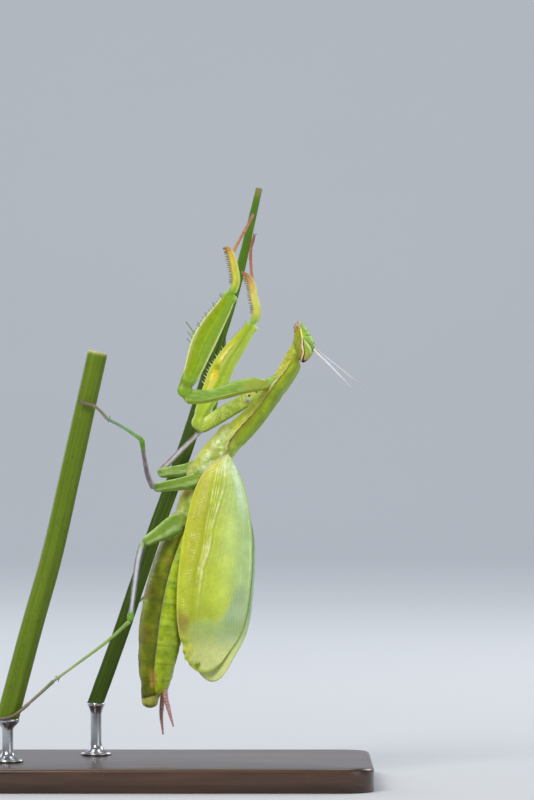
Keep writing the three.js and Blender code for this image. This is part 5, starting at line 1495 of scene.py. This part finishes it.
def tegmen_paint(u, v, places, across):
    z = places[..., 2]
    cloud = noise(places, 1.6, 58, (1, 0.3, 0.6))
    uneven = u + 0.04 * cloud
    edge = 26.6 + 5.5 * smooth(u, 0.52, 0.86) ** 2 + 0.5 * cloud
    lime = smooth(z, edge - 0.5, edge + 1.3) * smooth(z, 40, 32) * smooth(uneven, 0.86, 0.5)
    low = smooth(z, edge + 1.3, edge - 1.1)
    # A brownish patch low by the front edge.
    brown_patch = smooth(np.hypot((u - 0.06) / 0.14, (z - 26.8) / 2) + 0.25 * cloud, 1.2, 0.2)
    rim = COSTAL_EDGE(v)
    veins = vein_field(u, v, across)
    # Up to 1 just behind each vein, where shade is painted beside the raised veins.
    groove = vein_field(u - 0.02, v, across) * (1 - veins)
    # The veins' own pale colour with a painted highlight on their beads; the same mask also makes them glossier.
    shine = np.clip(veins * beads(places, 0.65, 0.2, 1.1) * smooth(v, 0.75, 0.5), 0, 1)
    fold = noise(places, 0.8, 63, (1, 0, 1))
    ruffle = smooth(v, 0.82, 0.9) * smooth(u, 0.45, 0.05)
    # Distance from a spot of painted shade in a crumple near the tip.
    from_fold_shade = np.hypot(places[..., 0] - 3.7, z - 19.4) + 0.25 * noise(places, 0.4, 64)
    return painted(
        0xC8CC1E, 0.42 - 0.12 * shine,
        (0xC8DA3C, smooth(uneven, 0.2, 0.38)),
        (0xC8DE78, smooth(uneven, 0.38, 0.66)),
        (0xB6D48E, smooth(uneven, 0.64, 0.9)),
        # Painted highlight: a pale mint band along the rear shoulder.
        (0xDCF4D4, band(u, 0.86 + 0.1 * v, 0.02, 0.1) * smooth(v, 0.4, 0.2) * smooth(v, 0, 0.1) * 0.85),
        (0xE0E670, smooth(v, 0.2, 0.05) * smooth(u, 0.7, 0.5) * 0.6),
        (0xC6D83C, lime * 0.7),
        (None, 1 - 0.07 * lime * smooth(z, 31, 27.5)),
        (0xB6CC7E, low * 0.85),
        (0xA4C09A, low * smooth(u, 0.5, 0.8) * 0.7),
        (0xDEE692, smooth(z, 25.2, 21.5) * 0.85),
        (0xC8CC3E, low * smooth(u, 0.26, 0.1) * 0.6),
        (0x98B060, low * band(z, 25.6, 0.5, 1.2) * smooth(u, 0.25, 0.45) * 0.4),
        (0x9A7A3C, brown_patch * 0.5),
        (0xE2EFC4, striae(u, across, places) * smooth(u, 0.28, 0.45) * (0.12 + 0.1 * low)),
        (0xB4B428, in_costal(u, v, 0.05) * smooth(v, 0.36, 0.16) * 0.5),
        (0xE8E8A0, band(u, rim - 0.06, 0.03, 0.08) * smooth(v, 0.42, 0.22) * 0.25),
        (0xF6F6A4, cross_veins(u, v, places, across)),
        (0xA8B418, band(u, rim + 0.02, 0.01, 0.05) * smooth(v, 0.05, 0.15) * smooth(v, 0.85, 0.6) * 0.25),
        # Painted shade just behind the veins.
        (0xA4BA2A, groove * smooth(v, 0.75, 0.35) * smooth(u, 0.75, 0.5) * 0.3),
        (0xFAFCB4, shine),
        (0xE0DE84, smooth(u * across, 0.3, 0.12) * 0.6),
        (0xD0C48C, smooth(u * across, 0.6, 0.2) * smooth(v, 0.14, 0.04)),
        (0xE2F0CC, smooth(v, 0.14, 0) * smooth(u, 0.2, 0.6) * patches(places, 0.5, 60, -0.6, 0.1) * 0.8),
        # On the ruffled front of the tip: painted shade in the crumples' hollows and painted highlight on their
        # crests.
        (0x8AA00C, ruffle * smooth(fold, -0.05, -0.5) * 0.7),
        (0xD8E040, ruffle * smooth(fold, -0.1, 0.3) * 0.8),
        # Painted shade: dark green in a crumple near the tip.
        (0x5E7A00, (1 - smooth(from_fold_shade, 0.15, 0.8)) * 0.75),
        # Painted shadow line: darker green along the tip's edge.
        (0xA4BC38, smooth((1 - v) * TEGMEN_LENGTH, 0.7, 0.2) * 0.6),
        (0xB0C850, smooth((1 - u) * across, 0.45, 0.15) * low * 0.6),
        (None, 1 + 0.04 * noise(places, 1.6, 65) + 0.03 * noise(places, 0.3, 68)))


def hindwing_relief(u, v, places, across):
    ribs = 0.5 + 0.5 * np.cos(u * across * 2 * np.pi / RIB_SPACING)
    return 0.02 * ribs, 0.12 * np.sin(u * 9) * smooth(v, 0.1, 0.5) + 0.05 * noise(places, 0.8, 66)


def hindwing_paint(u, v, places, across):
    return painted(
        0xA8C8A0, 0.4,
        (0x98B898, smooth(v, 0.3, 0.7)),
        (0xDAE492, smooth(v, 0.68, 0.92)),
        (0xD4E4C8, striae(u, across, places, RIB_SPACING) * 0.3),
        (0xB4CC9C, smooth((1 - u) * across, 0.25, 0.1) * 0.5))


def cell_net(u, v, across):
    """How clearly the small cells between a tegmen's veins show: most in the costal field."""
    costal = in_costal(u, v, 0.04) * smooth(u * across, 0.2, 0.6)
    middle = smooth(u, COSTAL_EDGE(v), COSTAL_EDGE(v) + 0.05) * smooth(u, 0.9, 0.3)
    return 0.14 * costal * smooth(v, 0.7, 0.4) + 0.12 * middle * smooth(v, 0.95, 0.4)


def make_wing(name, hand, spec, columns, rows, relief, paint, slot):
    """A closed sheet that thins to its edges; a tegmen's hind corner is ruffled and its cells show."""
    places, u, v, across = wing_grid(spec, hand, columns, rows)
    raised, bent = relief(u, v, places, across)
    tint = paint(u, v, places, across).reshape(-1, 4)
    places[..., 1] += hand * bent
    net = 0 * u
    if slot == "tegmen":
        net = cell_net(u, v, across)
        ruffle = smooth(v, 0.86, 0.93) * smooth(u, 0.2, 0)
        places[..., 0] += (0.35 * noise(places, 0.55, 69, (0, 0, 1)) + 0.15) * ruffle
    side_rim, tip_rim = np.minimum(u, 1 - u) * across / SIDE_RIM, (1 - v) * RIM_LENGTH / TIP_RIM
    half = spec["thickness"] / 2 * (0.35 + 0.65 * np.clip(np.minimum(side_rim, tip_rim), 0, 1))
    sheets = [places.reshape(-1, 3) - np.outer((face * (half + raised)).ravel(), [0, 1, 0]) for face in (1, -1)]
    make_piece(f"{name}_membrane", np.vstack(sheets), wing_faces(columns, rows), np.vstack([tint, tint]), WING,
               [name], slot, np.stack([net, net]))


for side_name, hand in (("left", -1), ("right", 1)):
    make_wing(f"tegmen_{side_name}", hand, TEGMEN, 150, 270, tegmen_relief, tegmen_paint, "tegmen")
    make_wing(f"hindwing_{side_name}", hand, HINDWING, 130, 110, hindwing_relief, hindwing_paint, "hindwing")

# ---------------------------------------------------------------- perch

RUSH_RIBS, BLADE_RIBS = 30, 22


def rush_relief(share, turn, places):
    return 0.008 * np.cos(turn * RUSH_RIBS) + 0.015 * noise(places, 0.8, 71, (1, 1, 0.06))


def stripes(turn, places, grain, seed):
    """Long uneven stripes along a stem, by direction round it and slowly along it."""
    spots = np.stack([np.cos(turn) * grain, np.sin(turn) * grain, places[..., 2] * 0.05], -1)
    return noise(spots, 1, seed) * 0.6 + noise(spots, 1, seed + 1, (2.7, 2.7, 1.6)) * 0.4


def rush_paint(share, turn, places):
    specks = patches(places, 0.22, 76, 0.6, 0.75, (1, 1, 0.5))
    return painted(
        0x567006, 0.42,
        (0x6C8416, smooth(stripes(turn, places, 5, 72), -0.6, 0.7)),
        (0x8AA040, smooth(np.cos(turn * RUSH_RIBS), 0.5, 1) * 0.08),
        (0x7C7A30, patches(places, 1.4, 73, 0.35, 0.7, (1, 1, 0.3)) * 0.3),
        (0x4A4620, specks * 0.5),
        (0xC9C890, smooth(share, 0.012, 0)))


def blade_relief(share, turn, places):
    return 0.02 * np.cos(turn * BLADE_RIBS) + 0.02 * noise(places, 0.5, 74, (1, 1, 0.15))


def blade_paint(share, turn, places):
    return painted(
        0x344E00, 0.48,
        (0x4E6800, smooth(stripes(turn, places, 4, 74), -0.35, 0.45)),
        (0x6E8A30, smooth(np.cos(turn * BLADE_RIBS), 0.75, 1) * 0.15),
        (0x7C7434, patches(places, 1.6, 77, 0.45, 0.8, (1, 1, 0.3)) * 0.3),
        (0x56840A, smooth(share, 0.35, 0.1) * 0.7),
        (0x8A8450, smooth(share, 0.03, 0)))


RUSH_RADIUS, BLADE_Y = 1.75, 8
# Where the rods stand, and the heights of the stems' level cuts over their cups.
RUSH_FOOT, BLADE_FOOT = (-27.2, -7.6, 11.2), (-13.3, BLADE_Y, 12.8)
rush = Limb([[-12.5, -6.5, 71.1], [-16.5, -6.6, 53.3], [-20, -6.9, 37.8], [-23.4, -7.3, 25.6], [-27.5, -7.6, 10.1]],
            [[0, RUSH_RADIUS * 0.94], [1, RUSH_RADIUS * 1.05]], caps=(0, 0))
blade = Limb([[x, BLADE_Y, z] for x, z in ((13.9, 98.5), (11.9, 89.8), (10.1, 82.4), (6.9, 72.3), (2.7, 58.2),
                                           (-3.8, 40.1), (-9.4, 23.6), (-13.7, 11.7))],
             [[0, 0.45, 0.55], [0.1, 0.6, 0.7], [0.25, 0.75, 1], [0.45, 0.75, 1.3], [1, 0.75, 1.365]],
             section=FOLDED, caps=(0, 0))
for name, stem, foot, paint, relief in (("rush", rush, RUSH_FOOT, rush_paint, rush_relief),
                                        ("blade", blade, BLADE_FOOT, blade_paint, blade_relief)):
    places, faces, colours = stem.mesh(200, 104, paint, relief)
    places[:, 2] = np.maximum(places[:, 2], foot[2])
    make_piece(f"perch_{name}_stem", places, faces, colours, STEM, [f"perch_{name}"], name)

# ---------------------------------------------------------------- stand

BASE = {"length": 65, "width": 44, "thickness": 4, "corner": 5, "bevel": 0.7}


def base_outline(inset, steps=12):
    """The base's outline with round corners, drawn in by inset."""
    x, y = BASE["length"] / 2 - inset, BASE["width"] / 2 - inset
    r = BASE["corner"] - inset
    corners = []
    for k, (sx, sy) in enumerate(((1, 1), (-1, 1), (-1, -1), (1, -1))):
        for i in range(steps + 1):
            angle = (k + i / steps) * math.pi / 2
            corners.append([sx * (x - r) + r * math.cos(angle), sy * (y - r) + r * math.sin(angle)])
    return np.array(corners)


def make_base():
    bevel, top = BASE["bevel"], BASE["thickness"]
    angles = np.linspace(0, math.pi / 2, 7)
    levels = [(0.25, 0), (0, 0.25)]
    levels += [(bevel * (1 - math.cos(a)), top - bevel * (1 - math.sin(a))) for a in angles]
    rings = [np.insert(base_outline(inset), 2, height, axis=1) for inset, height in levels]
    places, faces = closed(rings, [[0, 0, 0], [0, 0, top]])
    make_piece("stand_base_wood", places, faces, None, WOOD, ["stand_base"], "base_wood")


def make_rod(name, foot, cup):
    """A turned rod with a foot on the base and a cup under the stem's cut end."""
    x, y, cut = foot
    bottom, top = BASE["thickness"], cut - 0.02
    outline = [(2.45, bottom), (2.6, bottom + 0.15), (2.6, bottom + 0.4), (2.3, bottom + 0.6), (1.4, bottom + 0.95),
               (1, bottom + 1.5), (0.9, bottom + 2.2), (0.9, top - 1.9), (1, top - 1.5), (cup - 0.15, top - 0.7),
               (cup, top - 0.5), (cup, top - 0.12), (cup - 0.12, top)]
    turn = turns(64)
    rings = [np.stack([x + r * np.cos(turn), y + r * np.sin(turn), z + 0 * turn], -1) for r, z in outline]
    places, faces = closed(rings, [[x, y, bottom], [x, y, top]])
    make_piece(f"stand_rod_{name}_steel", places, faces, None, STEEL, [f"stand_rod_{name}"], "rod_steel")


make_base()
make_rod("rush", RUSH_FOOT, 1.9)
make_rod("blade", BLADE_FOOT, 1.4)

# ---------------------------------------------------------------- stage


def make_stage():
    """A pale floor that curves up into a backdrop far behind."""
    half, near, far, radius, height = 2500, -1600, 1100, 900, 2600
    curve = [(near, 0)] + [(far + radius * math.sin(a), radius * (1 - math.cos(a)))
                            for a in np.linspace(0, math.pi / 2, 25)] + [(far + radius, height)]
    places = [(side, y, z) for y, z in curve for side in (-half, half)]
    faces = [[k, k + 1, k + 3, k + 2] for k in range(0, 2 * len(curve) - 2, 2)]
    stage = make_mesh("studio_floor", places, faces, STAGE)


make_stage()
